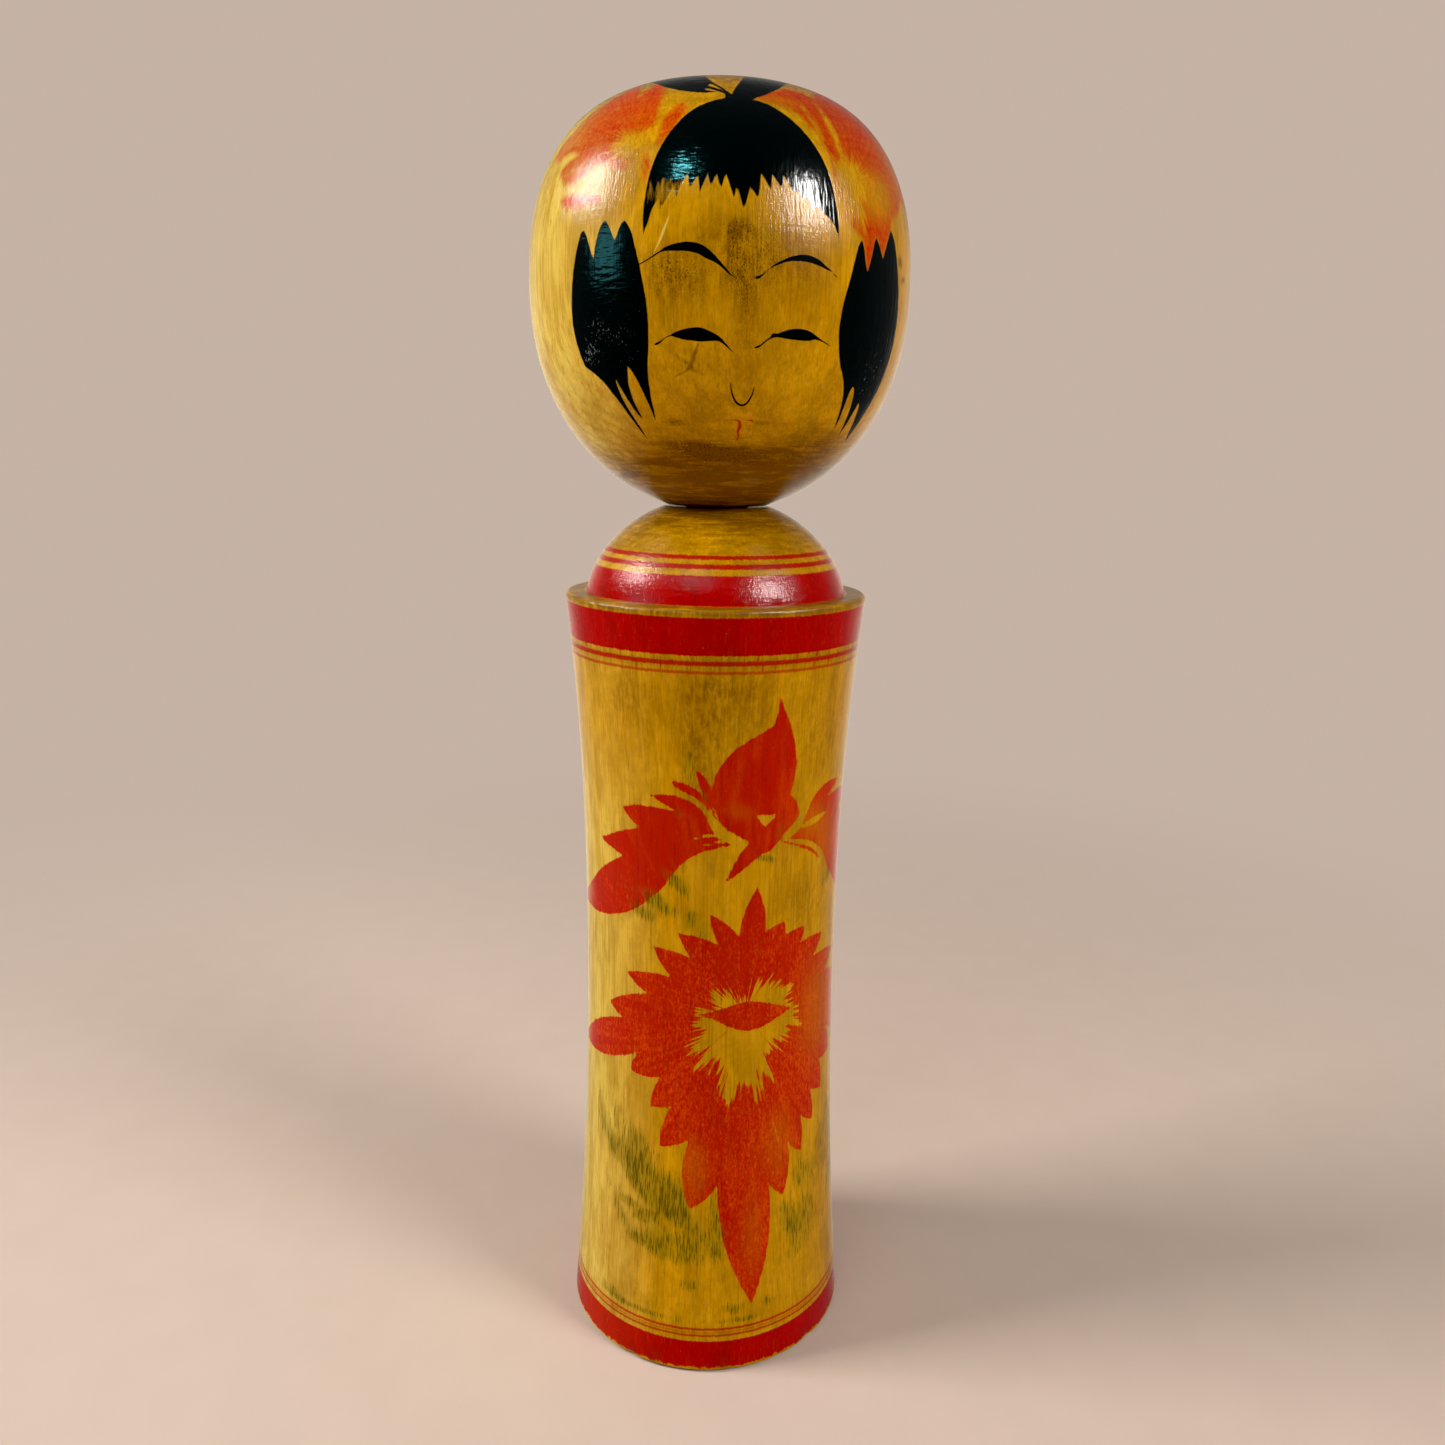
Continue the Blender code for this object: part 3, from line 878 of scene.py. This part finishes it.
def wood_colour(n, w, grime_and_shade):
    """Dyed and aged wood: growth rings, fibres, blotches and specks of dirt, with dirt and painted shade laid
    over it.
    """
    off_x, off_y = n.minus(w.x, PITH[0]), n.minus(w.y, PITH[1])
    pith = n.math("SQRT", n.plus(n.times(off_x, off_x), n.times(off_y, off_y)))
    pith = n.plus(pith, n.swing(w.blotch, 2.2), n.swing(w.mottle, 0.25), n.times(w.z, 0.02))
    rings = n.spread(n.math("SINE", n.times(pith, 2 * pi / RING_SPACING)), -0.3, 1.0)
    smeared = n.stored("smeared")
    patchy = n.plus(n.times(w.fibre, 0.5), n.times(w.mottle, 0.5))
    patchy = n.plus(n.times(w.smear, smeared), n.times(patchy, n.rest(smeared)))
    # dirt, and painted shade under the chin, on the far left of the head and on the dome under the head
    dirt_and_shade = n.times(grime_and_shade, n.spread(patchy, 0.40, 0.60, 0.50, 1.30))
    dots = n.spread(n.plus(n.stored("specks"), n.swing(w.cloud, 0.2)), 0.15, 0.85, 0.04, 0.85)
    layers = [
        (n.spread(w.blotch, 0.42, 0.75, 0.0, 0.30), BROWN),
        # painted light: pale ochre over the lit left side
        (n.times(n.stored("pale"), n.spread(w.cloud, 0.35, 0.65, 1.0, 0.55)), PALE_OCHRE),
        (n.spread(w.streak, 0.48, 0.66, 0.0, 0.35), OLIVE),
        (n.spread(w.grain, 0.34, 0.46, 0.10, 0.0), PALE_OCHRE),
        (n.times(rings, n.plus(0.10, n.times(n.stored("end_grain"), 0.42))), BROWN),
        (n.spread(n.plus(w.fibre, n.times(w.hair, 0.5)), 0.75, 1.02, 0.0, 0.4), BROWN),
        (n.spread(w.grain, 0.53, 0.68, 0.0, 0.38), BROWN),
        (n.times(n.spread(w.smear, 0.54, 0.74, 0.0, 0.45), n.plus(smeared, 0.15)), BROWN),
        (n.math("MINIMUM", dirt_and_shade, 0.9), DIRT_AND_SHADE_BROWN),
        (n.times(n.spread(w.speck, 0.53, 0.63), dots), GRIME_BROWN),
    ]
    colour = n.mixed(n.spread(n.plus(w.cloud, n.times(w.mottle, 0.6)), 0.62, 1.02), OCHRE, OLIVE)
    for share, tint in layers:
        colour = n.mixed(share, colour, tint)
    return colour


def thin_line(n, kind):
    """Depth inside the nearest thin line of this kind."""
    return n.minus(n.stored(kind + "_width"), n.math("ABSOLUTE", n.stored(kind + "_line")))


def bare_heart(n):
    """Depth inside a flower's bare heart, whose edge is brushed out into rays."""
    x, y = n.stored("heart_x"), n.stored("heart_y")
    reach = n.math("MAXIMUM", n.math("SQRT", n.plus(n.times(x, x), n.times(y, y))), 0.01)
    turn_x, turn_y = n.math("DIVIDE", x, reach), n.math("DIVIDE", y, reach)
    rays = n.noise(n.vector(n.times(turn_x, 6.0), n.times(turn_y, 6.0), n.times(reach, 0.02)), 3.0, 0.6)
    hairs = n.noise(n.vector(n.times(turn_x, 22.0), n.times(turn_y, 22.0), n.times(reach, 0.06)), 2.0)
    ray_length = n.stored("rays")
    ragged = n.plus(n.times(n.swing(rays, 1.0), ray_length), n.times(n.swing(hairs, 0.8), ray_length))
    bare = n.plus(n.stored("heart"), ragged)
    bare = n.minus(bare, n.times(ray_length, 0.15))
    return bare, hairs


def red_layer(n, w, worn):
    """How much red dye covers the wood, and its colour."""
    bare, hairs = bare_heart(n)
    petals = n.math("MINIMUM", n.stored("petals"), n.times(bare, -0.4))
    soft = n.stored("soft")
    drawn = n.math("MAXIMUM", petals, n.stored("strokes"))
    edge = n.plus(n.swing(w.fibre, 0.24), n.swing(w.mottle, 0.10), n.times(soft, n.swing(w.cloud, 0.7)))
    cover = n.math("DIVIDE", n.plus(drawn, edge, n.times(soft, 0.2)), n.plus(n.times(soft, 1.5), 0.22))
    cover = n.spread(cover, -0.5, 0.8)
    rough = n.stored("rough_paint")
    mottling = n.times(n.plus(w.grit, w.fine, -1.0), n.plus(0.7, n.times(rough, 2.0)))
    tone = n.plus(n.stored("tone"), n.swing(w.cloud, 0.25), mottling, n.swing(hairs, 0.25))
    tone = n.math("MAXIMUM", n.math("MINIMUM", tone, 1.0), 0.0)
    colour = n.mixed(tone, DEEP_RED, VERMILION)
    dark = n.spread(n.plus(w.fibre, n.times(w.fine, 0.7)), 0.84, 1.08, 0.0, 0.65)
    colour = n.mixed(dark, colour, DARK_RED)
    bristles = n.noise(n.vector(n.times(w.x, 0.12), n.times(w.y, 0.12), n.times(w.z, 1.1)), 4.0, 0.65)
    thin = n.spread(n.plus(n.times(w.hair, 0.5), n.times(w.mottle, 0.5), n.times(bristles, soft)), 0.55, 1.25)
    thin = n.times(thin, n.plus(n.times(tone, 0.35), n.times(soft, 0.28)))
    # faded red, and in one patch on the head a painted highlight
    faded = n.times(n.stored("fade"), n.plus(0.4, w.cloud))
    cover = n.times(cover, n.minus(0.97, thin), n.rest(worn), n.rest(faded))
    mouth = n.spread(n.plus(thin_line(n, "red"), n.swing(w.fine, 0.12)), -0.10, 0.10, 0.0, 0.9)
    return n.math("MAXIMUM", cover, mouth, clamp=True), colour


BANDS = [  # lowest and highest point of each turned red band, and how strong it is
    (-1.0, 8.7, 1.0), (9.95, 10.55, 0.80), (10.9, 11.25, 0.45), (11.65, 12.3, 0.85),
    (178.9, 179.6, 0.70), (180.75, 181.85, 0.92), (183.0, 191.5, 1.0),
    (193.25, 199.7, 1.0), (201.0, 202.05, 0.95), (203.0, 203.9, 0.95),
]
BAND_EDGE = 0.15  # half the width of a band's soft edge


def band_layer(n, w, worn):
    """The red bands run on in the lathe: how much they cover, and their colour."""
    ticks = w.noise(1.1, 0.10, 3.0, 0.6)
    wobble = n.plus(n.swing(ticks, 0.14), n.swing(w.hair, 0.12))
    height = n.plus(w.z, wobble)
    cover = 0.0
    for lowest, highest, strength in BANDS:
        above = n.spread(height, lowest - BAND_EDGE, lowest + BAND_EDGE)
        beyond = n.spread(height, highest - BAND_EDGE, highest + BAND_EDGE)
        cover = n.math("MAXIMUM", cover, n.times(n.minus(above, beyond), strength))
    run_up = n.minus(n.spread(w.z, 178.8, 179.2), n.spread(w.z, 183.0, 183.4))
    runs = n.times(n.spread(n.plus(ticks, n.swing(w.blotch, 0.10)), 0.58, 0.70), run_up)
    cover = n.math("MAXIMUM", cover, n.times(runs, 0.85))
    cover = n.times(cover, n.spread(w.hair, 0.28, 0.42, 0.92, 1.0), n.rest(worn))
    colour = n.mixed(n.spread(n.plus(w.fine, w.cloud), 0.75, 1.30, 0.15, 0.75), DEEP_RED, DARK_RED)
    # the bands turn vermilion with the fibres, and as painted light on the lit left side of the base
    lit = n.plus(n.spread(w.fibre, 0.28, 0.42, 0.14, 0.0), n.stored("band_painted_light"))
    return cover, n.mixed(lit, colour, VERMILION)


def leaf_layer(n, w, colour, red_cover):
    """Faded leaves: an olive wash under dark dry-brush streaks."""
    green = n.stored("green")
    wash = n.spread(n.plus(green, n.swing(w.cloud, 0.2), n.swing(w.fibre, 0.15)), 0.08, 0.80, 0.0, 0.62)
    colour = n.mixed(n.times(wash, n.rest(n.times(red_cover, 0.85))), colour, LEAF_OLIVE)
    brush = n.swing(w.noise(3.0, 0.20, 3.0, 0.6), 0.95)
    streaks = n.plus(n.times(green, 0.75), brush, n.swing(w.cloud, 0.30))
    streaks = n.times(n.spread(streaks, 0.30, 1.05, 0.0, 0.78), n.spread(green, 0.03, 0.25))
    return n.mixed(streaks, colour, LEAF_DARK)


def ink_layer(n, w):
    """How much black ink covers the wood, as crisp-edged hair and fine lines, and the hair on its own."""
    ragged = n.plus(n.swing(w.fibre, 0.05), n.swing(w.speck, 0.03))
    solid = n.spread(n.plus(n.stored("ink"), ragged), -0.10, 0.12)
    bristles = n.swing(w.noise(1.3, 0.16, 3.0, 0.6), 0.55)
    dryness = n.stored("dry")
    dry = n.times(n.spread(n.plus(bristles, dryness), 0.25, 1.05), n.spread(dryness, 0.03, 0.30, 0.0, 0.8))
    line = n.spread(n.plus(thin_line(n, "ink"), n.times(ragged, 0.4)), -0.08, 0.06)
    return n.math("MAXIMUM", n.times(solid, n.rest(dry)), line), solid


def ink_colour(n, w):
    """Black with pale scuffs where the doll has rubbed against things."""
    scuffs = n.plus(n.swing(w.fine, 0.50), n.swing(w.speck, 0.25), n.times(n.stored("scuffs"), 0.50))
    return n.mixed(n.spread(scuffs, 0.58, 0.80, 0.0, 0.75), INK, DUST)


# How high the surface rises, in millimetres: first with each of the shared noises
GRAIN_RELIEF = {
    "fibre": 0.055, "hair": 0.026, "speck": 0.008, "chatter": 0.026, "mottle": 0.035, "grain": 0.08,
}
LATHE_LINES = 0.10
BRUSH_RIDGES = 0.085
WEAR_DEPTH = 0.06


def surface_relief(n, w, wear, ink, solid, red):
    """Height in millimetres: grain that the paint partly fills, lathe lines, wear and ridges in solid ink."""
    grain = n.plus(*[n.times(n.minus(getattr(w, name), 0.5), rise) for name, rise in GRAIN_RELIEF.items()])
    grain = n.times(grain, n.rest(n.times(ink, 0.75)), n.rest(n.times(red, 0.35)))
    lathe_lines = n.times(n.stored("smeared"), n.minus(w.noise(0.30, 1.3, 1.0), 0.5), LATHE_LINES)
    upright = n.spread(w.x, -4.0, 10.0)  # the brush ran level on the left and upright on the right
    level_ridges = n.times(n.minus(w.noise(0.40, 1.25, 1.0), 0.5), n.rest(upright))
    upright_ridges = n.times(n.minus(w.noise(1.3, 0.12, 1.0), 0.5), upright)
    ridges = n.times(solid, n.plus(level_ridges, upright_ridges), BRUSH_RIDGES)
    return n.plus(grain, lathe_lines, n.times(wear, w.mottle, -WEAR_DEPTH), ridges)


WAX_GLOSS = 0.22


def painted_wood(name, has_bands):
    """Wood with its dirt, painted shade and wear, the paint over it, and wax over everything."""
    material, shader, n = new_material(name)
    w = Wood(n)
    grime_and_shade = n.stored("grime_and_shade")
    wear = n.stored("wear")
    colour = wood_colour(n, w, n.plus(grime_and_shade, n.times(wear, 0.35)))

    crack = n.spread(n.plus(thin_line(n, "crack"), n.swing(w.mottle, 0.25)), -0.35, 0.25, 0.0, 0.75)
    colour = n.mixed(crack, colour, DIRT_AND_SHADE_BROWN)
    scratch = n.spread(n.plus(thin_line(n, "scratch"), n.swing(w.fibre, 0.1)), -0.12, 0.10, 0.0, 0.7)
    colour = n.mixed(scratch, colour, PALE_OCHRE)

    scraped = n.spread(n.plus(wear, n.swing(w.mottle, 0.35)), 0.55, 0.75)
    pricked = n.spread(n.plus(n.swing(w.speck, 0.45), n.swing(w.mottle, 0.25)), 0.45, 0.62, 0.0, 0.75)
    worn = n.math("MAXIMUM", scraped, pricked)
    if has_bands:
        cover, red = band_layer(n, w, worn)
        colour = n.mixed(cover, colour, red)
    cover, red = red_layer(n, w, worn)
    colour = n.mixed(cover, colour, red)
    colour = leaf_layer(n, w, colour, cover)
    ink, solid = ink_layer(n, w)
    colour = n.mixed(ink, colour, ink_colour(n, w))
    n.feed(shader.inputs["Base Color"], colour)

    rubbed = n.math("MINIMUM", wear, 1.0)
    rough = n.plus(0.08, n.times(w.mottle, 0.08), n.times(w.fibre, 0.08), n.times(rubbed, 0.14))
    n.feed(shader.inputs["Roughness"], n.minus(rough, n.times(ink, 0.045)))
    shader.inputs["Specular IOR Level"].default_value = WAX_GLOSS

    relief = surface_relief(n, w, wear, ink, solid, cover)
    bump = n.add("Bump", inputs={"Height": n.times(relief, MM), "Distance": 1.0})
    n.feed(shader.inputs["Normal"], bump)
    return material


# ---------------------------------------------------------------- pieces


def hearts(sheet, centres, sizes):
    """Millimetres from the nearest bare flower heart, and the depth inside it."""
    best = np.full(len(sheet.spots["azimuth"]), np.inf)
    x, y, depth = (np.zeros_like(best) for _ in range(3))
    for centre, (across, up, down) in zip(centres, sizes):
        points, middle = sheet.flat([centre])
        dx, dy = (points - middle).T * [[1], [-1]]
        away = np.hypot(dx, dy)
        nearer = away < best
        best = np.where(nearer, away, best)
        x, y = np.where(nearer, dx, x), np.where(nearer, dy, y)
        inside = across * (1 - np.hypot(dx / across, dy / np.where(dy > 0, up, down)))
        depth = np.where(nearer, inside, depth)
    return x, y, depth


AMOUNTS = (
    "heart_x", "heart_y", "rays", "soft", "fade", "tone", "green", "grime_and_shade", "specks", "smeared",
    "wear", "dry", "pale", "scuffs", "rough_paint", "band_painted_light", "end_grain",
)
SHAPES = ("ink", "petals", "strokes", "heart")
LINE_KINDS = ("ink", "red", "scratch", "crack")

# What the material reads at a point where nothing is painted
UNPAINTED = dict.fromkeys(AMOUNTS, 0.0)
UNPAINTED.update(dict.fromkeys(SHAPES, -FAR))
UNPAINTED.update({kind + "_line": FAR for kind in LINE_KINDS})
UNPAINTED.update({kind + "_width": -1.0 for kind in LINE_KINDS})


def paint(piece, sheet, fields):
    fields["end_grain"] = sheet.spots["end_grain"]
    for name, blank in UNPAINTED.items():
        values = np.broadcast_to(fields.get(name, blank), sheet.on_skin.shape)
        store(piece, name, values)


def without(drawn, gaps):
    """What is drawn, less the gaps left in it."""
    for gap in gaps:
        drawn = np.minimum(drawn, -gap)
    return drawn


def hair(sheet):
    """Distance inside the locks, the fringe and the hair tied on the crown."""
    locks = [sheet.filled(outline_of(s)) for s in (LEFT_LOCK, RIGHT_LOCK, FRINGE)]
    tufts = np.max([sheet.plan(outline_of(s)) for s in (LEFT_TUFT, RIGHT_TUFT, KNOT)], axis=0)
    tufts = without(tufts, [sheet.plan(outline_of(gap)) for gap in TUFT_GAPS])
    return np.max(locks + [tufts], axis=0)


def blooms(sheet):
    """Distance inside the red flowers on the sides of the head."""
    petals = [sheet.filled(outline_of(s)) for s in (LEFT_BLOOM, RIGHT_BLOOM)]
    petals += [sheet.brushed(s) for s in HEAD_PETALS]
    return without(np.max(petals, axis=0), [sheet.brushed(gap) for gap in BLOOM_GAPS])


def side_flowers(sheet):
    """Distance inside the body's red petals and strokes, the chrysanthemum apart."""
    shapes = (UPPER_PETAL, SPUR, FAN, mirrored(FAN, FAN_MIRROR), SPINDLE)
    red = [sheet.filled(outline_of(s)) for s in shapes]
    red += [sheet.brushed(s) for s in SIDE_STROKES]
    gaps = [sheet.filled(outline_of(PETAL_GAP))] + [sheet.brushed(gap) for gap in FAN_GAPS]
    return without(np.max(red, axis=0), gaps)


def leaves(sheet):
    """How green the body is: two leaves on each side, and loose marks of the brush."""
    shapes = (UPPER_LEAF, LOWER_LEAF, mirrored(UPPER_LEAF, LEAF_MIRROR), mirrored(LOWER_LEAF, LEAF_MIRROR))
    green = sum(LEAF_STRENGTH * np.clip(0.5 + sheet.filled(outline_of(s)) / LEAF_EDGE, 0, 1) for s in shapes)
    lower_right = (sheet.spots["azimuth"] > LEAF_MIRROR) & (sheet.spots["height"] < 75)
    green[lower_right] *= 0.8
    return np.minimum(green + sheet.patches(GREEN_MARKS), 0.85)


def painted_light_side(azimuth, start, run):
    """Painted light on the left side, towards the key lamp: a share that starts left of the front and is gone
    again before the back.
    """
    return np.clip((-start - azimuth) / run, 0, 1) * np.clip((150 + azimuth) / 50, 0, 1)


# Where a mesh's columns stand close together, and its close and wide steps, in degrees
HEAD_COLUMNS = (-54.0, 70.0, 0.62, 1.9)
BODY_COLUMNS = (-80.0, 118.0, 0.86, 2.8)


def strip(height, middle, half_width):
    """A soft level strip: 1 at its middle height."""
    return np.exp(-(((height - middle) / half_width) ** 2))


CHIN_SHADE_TOP = 232.5  # painted shade: the wood is painted darker below this height, towards the neck
CROWN_FROM = 290.0  # the crown is painted darker above this height
BLEEDING_FROM = 245.0  # the red flowers above this height bled into the wood, the mouth below it didn't


def painted_head():
    piece, spots = turned("doll_head", head_outline(), columns(*HEAD_COLUMNS))
    sheet = Sheet(head_skin(), spots)
    x, y, heart = hearts(sheet, HEAD_HEARTS, HEAD_HEART_SIZES)
    grime_and_shade = sheet.patches(HEAD_GRIME_AND_SHADE)
    shade_top = CHIN_SHADE_TOP - 4.0 * np.clip(-spots["azimuth"] / 45, 0, 1)  # lower on the left
    crown = 0.85 * np.clip((37 - spots["radius"]) / 14, 0, 1) * (spots["height"] > CROWN_FROM)
    # painted shade under the chin, deepening towards the neck
    chin = np.clip((shade_top - spots["height"]) / 12, 0, 1) ** 1.1
    fields = {
        "ink": hair(sheet),
        "petals": blooms(sheet),
        "heart": heart,
        "heart_x": x,
        "heart_y": y,
        "rays": 2.2,
        "soft": np.where(spots["height"] > BLEEDING_FROM, 0.8, 0.05),
        "tone": np.where(spots["azimuth"] > 0, 0.13, 0.36),
        "fade": sheet.patches(HEAD_FADING_AND_SHEEN),
        "rough_paint": 0.35,
        "scuffs": sheet.patches(LOCK_SCUFFS),
        # painted light: the left side of the head, towards the key lamp, is painted paler
        "pale": 0.9 * painted_light_side(spots["azimuth"], 25, 30) * np.clip((spots["radius"] - 8) / 18, 0, 1),
        "grime_and_shade": 0.8 * grime_and_shade + 1.05 * chin + crown,
        "specks": grime_and_shade,
        "smeared": np.clip((238 - spots["height"]) / 8, 0, 0.75),
        "dry": sheet.smudge(*DRY_STROKE),
    }
    for kind, spines in zip(LINE_KINDS, (FACE_LINES, MOUTH, SCRATCHES, CRACKS)):
        fields[kind + "_line"], fields[kind + "_width"] = sheet.lines(spines)
    paint(piece, sheet, fields)
    piece.data.materials.append(painted_wood("head_painted_wood", has_bands=False))
    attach(piece, "head")
    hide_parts("head")


NICKS = [  # azimuth, height, width and depth of small dents on the two edges
    (-31.0, 0.5, 1.5, 0.35), (12.0, 0.3, 1.0, 0.25), (48.0, 0.6, 1.8, 0.40), (100.0, 0.4, 1.6, 0.35),
    (-95.0, 0.5, 2.2, 0.45), (170.0, 0.4, 1.4, 0.30), (-12.0, 193.0, 0.9, 0.22), (27.0, 193.1, 0.8, 0.18),
    (-48.0, 193.0, 1.1, 0.25), (135.0, 193.0, 1.3, 0.30), (-150.0, 193.0, 1.0, 0.25),
]

# Level strips of dirt beside the bands: middle height, half width, strength
GRIME_STRIPS = [(181.5, 1.8, 0.45), (192.2, 1, 0.45), (10.5, 2, 0.2), (202, 2, 0.15)]
BARE_DOME = 204.3  # above its red lines, the dome is bare wood, painted darker with dirt and with painted shade, most under the head
LATHE_MARKS_FROM = 192.5  # above this height dirt lies in the marks that the lathe left


def painted_body():
    piece, spots = turned("doll_body", body_outline(), columns(*BODY_COLUMNS), NICKS)
    sheet = Sheet(side_skin(), spots)
    z = spots["height"]
    outside = (spots["radius"] > side_radius(z) - 2.0) & (z < LEDGE_HEIGHT)
    sheet.on_skin &= outside
    x, y, _ = hearts(sheet, [HEART], [(1.0, 1.0, 1.0)])
    tone = 0.06 + 0.40 * np.clip((spots["azimuth"] - 20) / 70, 0, 1) + 0.16 * np.clip((118 - z) / 40, 0, 1)
    tone -= 0.10 * np.clip((-15 - spots["azimuth"]) / 15, 0, 1) * (z > 112)
    base_wear = strip(z, 0, 1.9) * (spots["radius"] > FOOT_INNER_RADIUS)
    rim_wear = strip(z, 192.9, 1.3) * (spots["radius"] > DOME_RADIUS)
    ledge = np.where((z > LEDGE_HEIGHT - 0.05) & (spots["radius"] > 31.5), 1.0, 0.0)
    under = np.where((z < 1.5) & (spots["radius"] < FOOT_INNER_RADIUS + 6), 1.0, 0.0)
    # dirt and painted shade on the bare dome, deepest where it meets the head
    dome = (0.30 + 0.5 * strip(z, SHOULDER_TOP, 4.0)) * (z > BARE_DOME)
    strips = sum(strength * strip(z, middle, half) for middle, half, strength in GRIME_STRIPS)
    fields = {
        "petals": sheet.filled(chrysanthemum()),
        "strokes": side_flowers(sheet),
        "heart": sheet.filled(BARE_HEART),
        "heart_x": x,
        "heart_y": y,
        "rays": 2.4,
        "rough_paint": np.clip((135 - z) / 12, 0, 1),
        "fade": sheet.patches(BODY_FADING),
        "tone": tone,
        # painted light: the left side of the body, towards the key lamp, is painted paler, less so near the
        # top
        "pale": 0.85 * painted_light_side(spots["azimuth"], 20, 40) * np.clip((175 - z) / 40, 0.3, 1),
        "green": leaves(sheet),
        "smeared": np.where(z > LATHE_MARKS_FROM, 0.75, 0.0),
        # painted light: the bands round the base are painted lighter on the left side
        "band_painted_light": 0.22 * painted_light_side(spots["azimuth"], 15, 40) * (z < 30),
        "grime_and_shade": sheet.patches(BODY_GRIME) + 1.35 * dome + strips + 0.30 * ledge,
        "wear": np.clip(1.1 * base_wear + 1.1 * rim_wear + ledge + under, 0, 1.1),
    }
    paint(piece, sheet, fields)
    piece.data.materials.append(painted_wood("body_painted_wood", has_bands=True))
    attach(piece, "body")
    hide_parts("body")


# ---------------------------------------------------------------- stage


BACKDROP = (0.56, 0.45, 0.38, 1)
FADE_START = 0.12  # metres from the doll where the floor starts to fade into the backdrop
FADE_END = 0.60
FLOOR_REACH = 6.0


def floor():
    """A pale floor that shows no horizon, and isn't mirrored in the doll's wax."""
    mesh = bpy.data.meshes.new("floor")
    corners = [(x * FLOOR_REACH, y * FLOOR_REACH, 0) for x, y in ((-1, -1), (1, -1), (1, 1), (-1, 1))]
    mesh.from_pydata(corners, [], [(0, 1, 2, 3)])
    stage = linked("floor", mesh)
    material, shader, n = new_material("floor_paper")
    cloud = n.noise(n.add("TexCoord", output=3), 4.0, scale=60.0)
    n.feed(shader.inputs["Base Color"], n.mixed(cloud, (0.60, 0.46, 0.37, 1), (0.65, 0.50, 0.41, 1)))
    shader.inputs["Roughness"].default_value = 0.8
    place = n.add("TexCoord", output=3)
    away = n.add("VectorMath", 1, operation="LENGTH", inputs={0: place})
    seen_far = n.times(n.spread(away, FADE_START, FADE_END), n.add("LightPath", output=0))
    backdrop = n.add("Emission", inputs={"Color": BACKDROP})
    faded = n.add("MixShader", inputs={0: seen_far, 1: shader.outputs[0], 2: backdrop})
    n.feed(material.node_tree.nodes["Material Output"].inputs[0], faded)
    mesh.materials.append(material)
    stage.visible_glossy = False


def softbox(name, azimuth, elevation, distance, size, power, colour, sheen=False):
    """A rectangular light that faces the head. Sheen lights show only in the wax, where the others don't."""
    data = bpy.data.lights.new(name, "AREA")
    data.shape = "RECTANGLE"
    data.size, data.size_y = size
    data.energy = power
    data.color = colour
    light = linked(name, data)
    light.visible_camera = False
    light.visible_diffuse = not sheen
    light.visible_glossy = sheen
    a, e = radians(azimuth), radians(elevation)
    away = Vector((sin(a) * cos(e), -cos(a) * cos(e), sin(e)))
    place = Matrix.Translation(away * distance + Vector((0, 0, 0.24)))
    light.matrix_world = place @ away.to_track_quat("Z", "Y").to_matrix().to_4x4()


def lights():
    white, teal = (1.0, 0.98, 0.95), (0.16, 0.80, 0.86)
    softbox("key", -84, 30, 1.1, (0.40, 0.36), 13.0, white)
    softbox("fill", 58, 30, 1.2, (0.42, 0.40), 10.0, white)
    softbox("overhead", -28, 46, 1.3, (0.60, 0.40), 2.5, (0.75, 0.92, 1.0))
    softbox("key_sheen", -88, 31, 1.1, (0.20, 0.32), 12.0, white, sheen=True)
    softbox("fill_sheen", 55, 28, 1.2, (0.20, 0.36), 20.0, white, sheen=True)
    softbox("teal_sheen", -25, 42, 1.3, (0.14, 0.06), 2.8, teal, sheen=True)
    softbox("low_teal_sheen", -68, 13, 1.2, (0.32, 0.24), 1.2, teal, sheen=True)
    world = bpy.data.worlds.new("studio")
    world.use_nodes = True
    n = Nodes(world.node_tree)
    background = world.node_tree.nodes["Background"]
    _, back, up = n.parts(n.add("TexCoord"))
    behind = n.times(n.spread(back, 0.60, 0.98), n.spread(up, 0.0, 0.30, 1.0, 0.2))
    seen = n.add("LightPath", output=0)
    cast = n.mixed(behind, (0.12, 0.12, 0.12, 1), (1.08, 0.96, 0.78, 1))
    n.feed(background.inputs["Color"], n.mixed(seen, cast, BACKDROP))
    bpy.context.scene.world = world


BLACK_POINT = (0.004, 0.004, 0.004)
CAMERA_DISTANCE = 280.6  # in front of the doll's axis
CAMERA_HEIGHT = 226.6
CAMERA_OFFSET = 2.2
CAMERA_TILT = 13.35  # degrees down
CAMERA_ROLL = 0.915
CAMERA_LENS = 28.65


def camera():
    data = bpy.data.cameras.new("camera")
    data.lens = CAMERA_LENS
    data.sensor_width = 36.0
    data.clip_start = 0.01
    view = linked("camera", data)
    place = Matrix.Translation(Vector((CAMERA_OFFSET, -CAMERA_DISTANCE, CAMERA_HEIGHT)) * MM)
    tilt = Matrix.Rotation(radians(90 - CAMERA_TILT), 4, "X")
    view.matrix_world = place @ tilt @ Matrix.Rotation(radians(CAMERA_ROLL), 4, "Z")
    bpy.context.scene.camera = view


def display():
    """Saturated colours, and a black point that deepens the dark paint."""
    view = bpy.context.scene.view_settings
    view.view_transform = "Standard"
    view.use_curve_mapping = True
    view.curve_mapping.black_level = BLACK_POINT
    view.curve_mapping.update()


painted_body()
painted_head()
floor()
lights()
camera()
display()
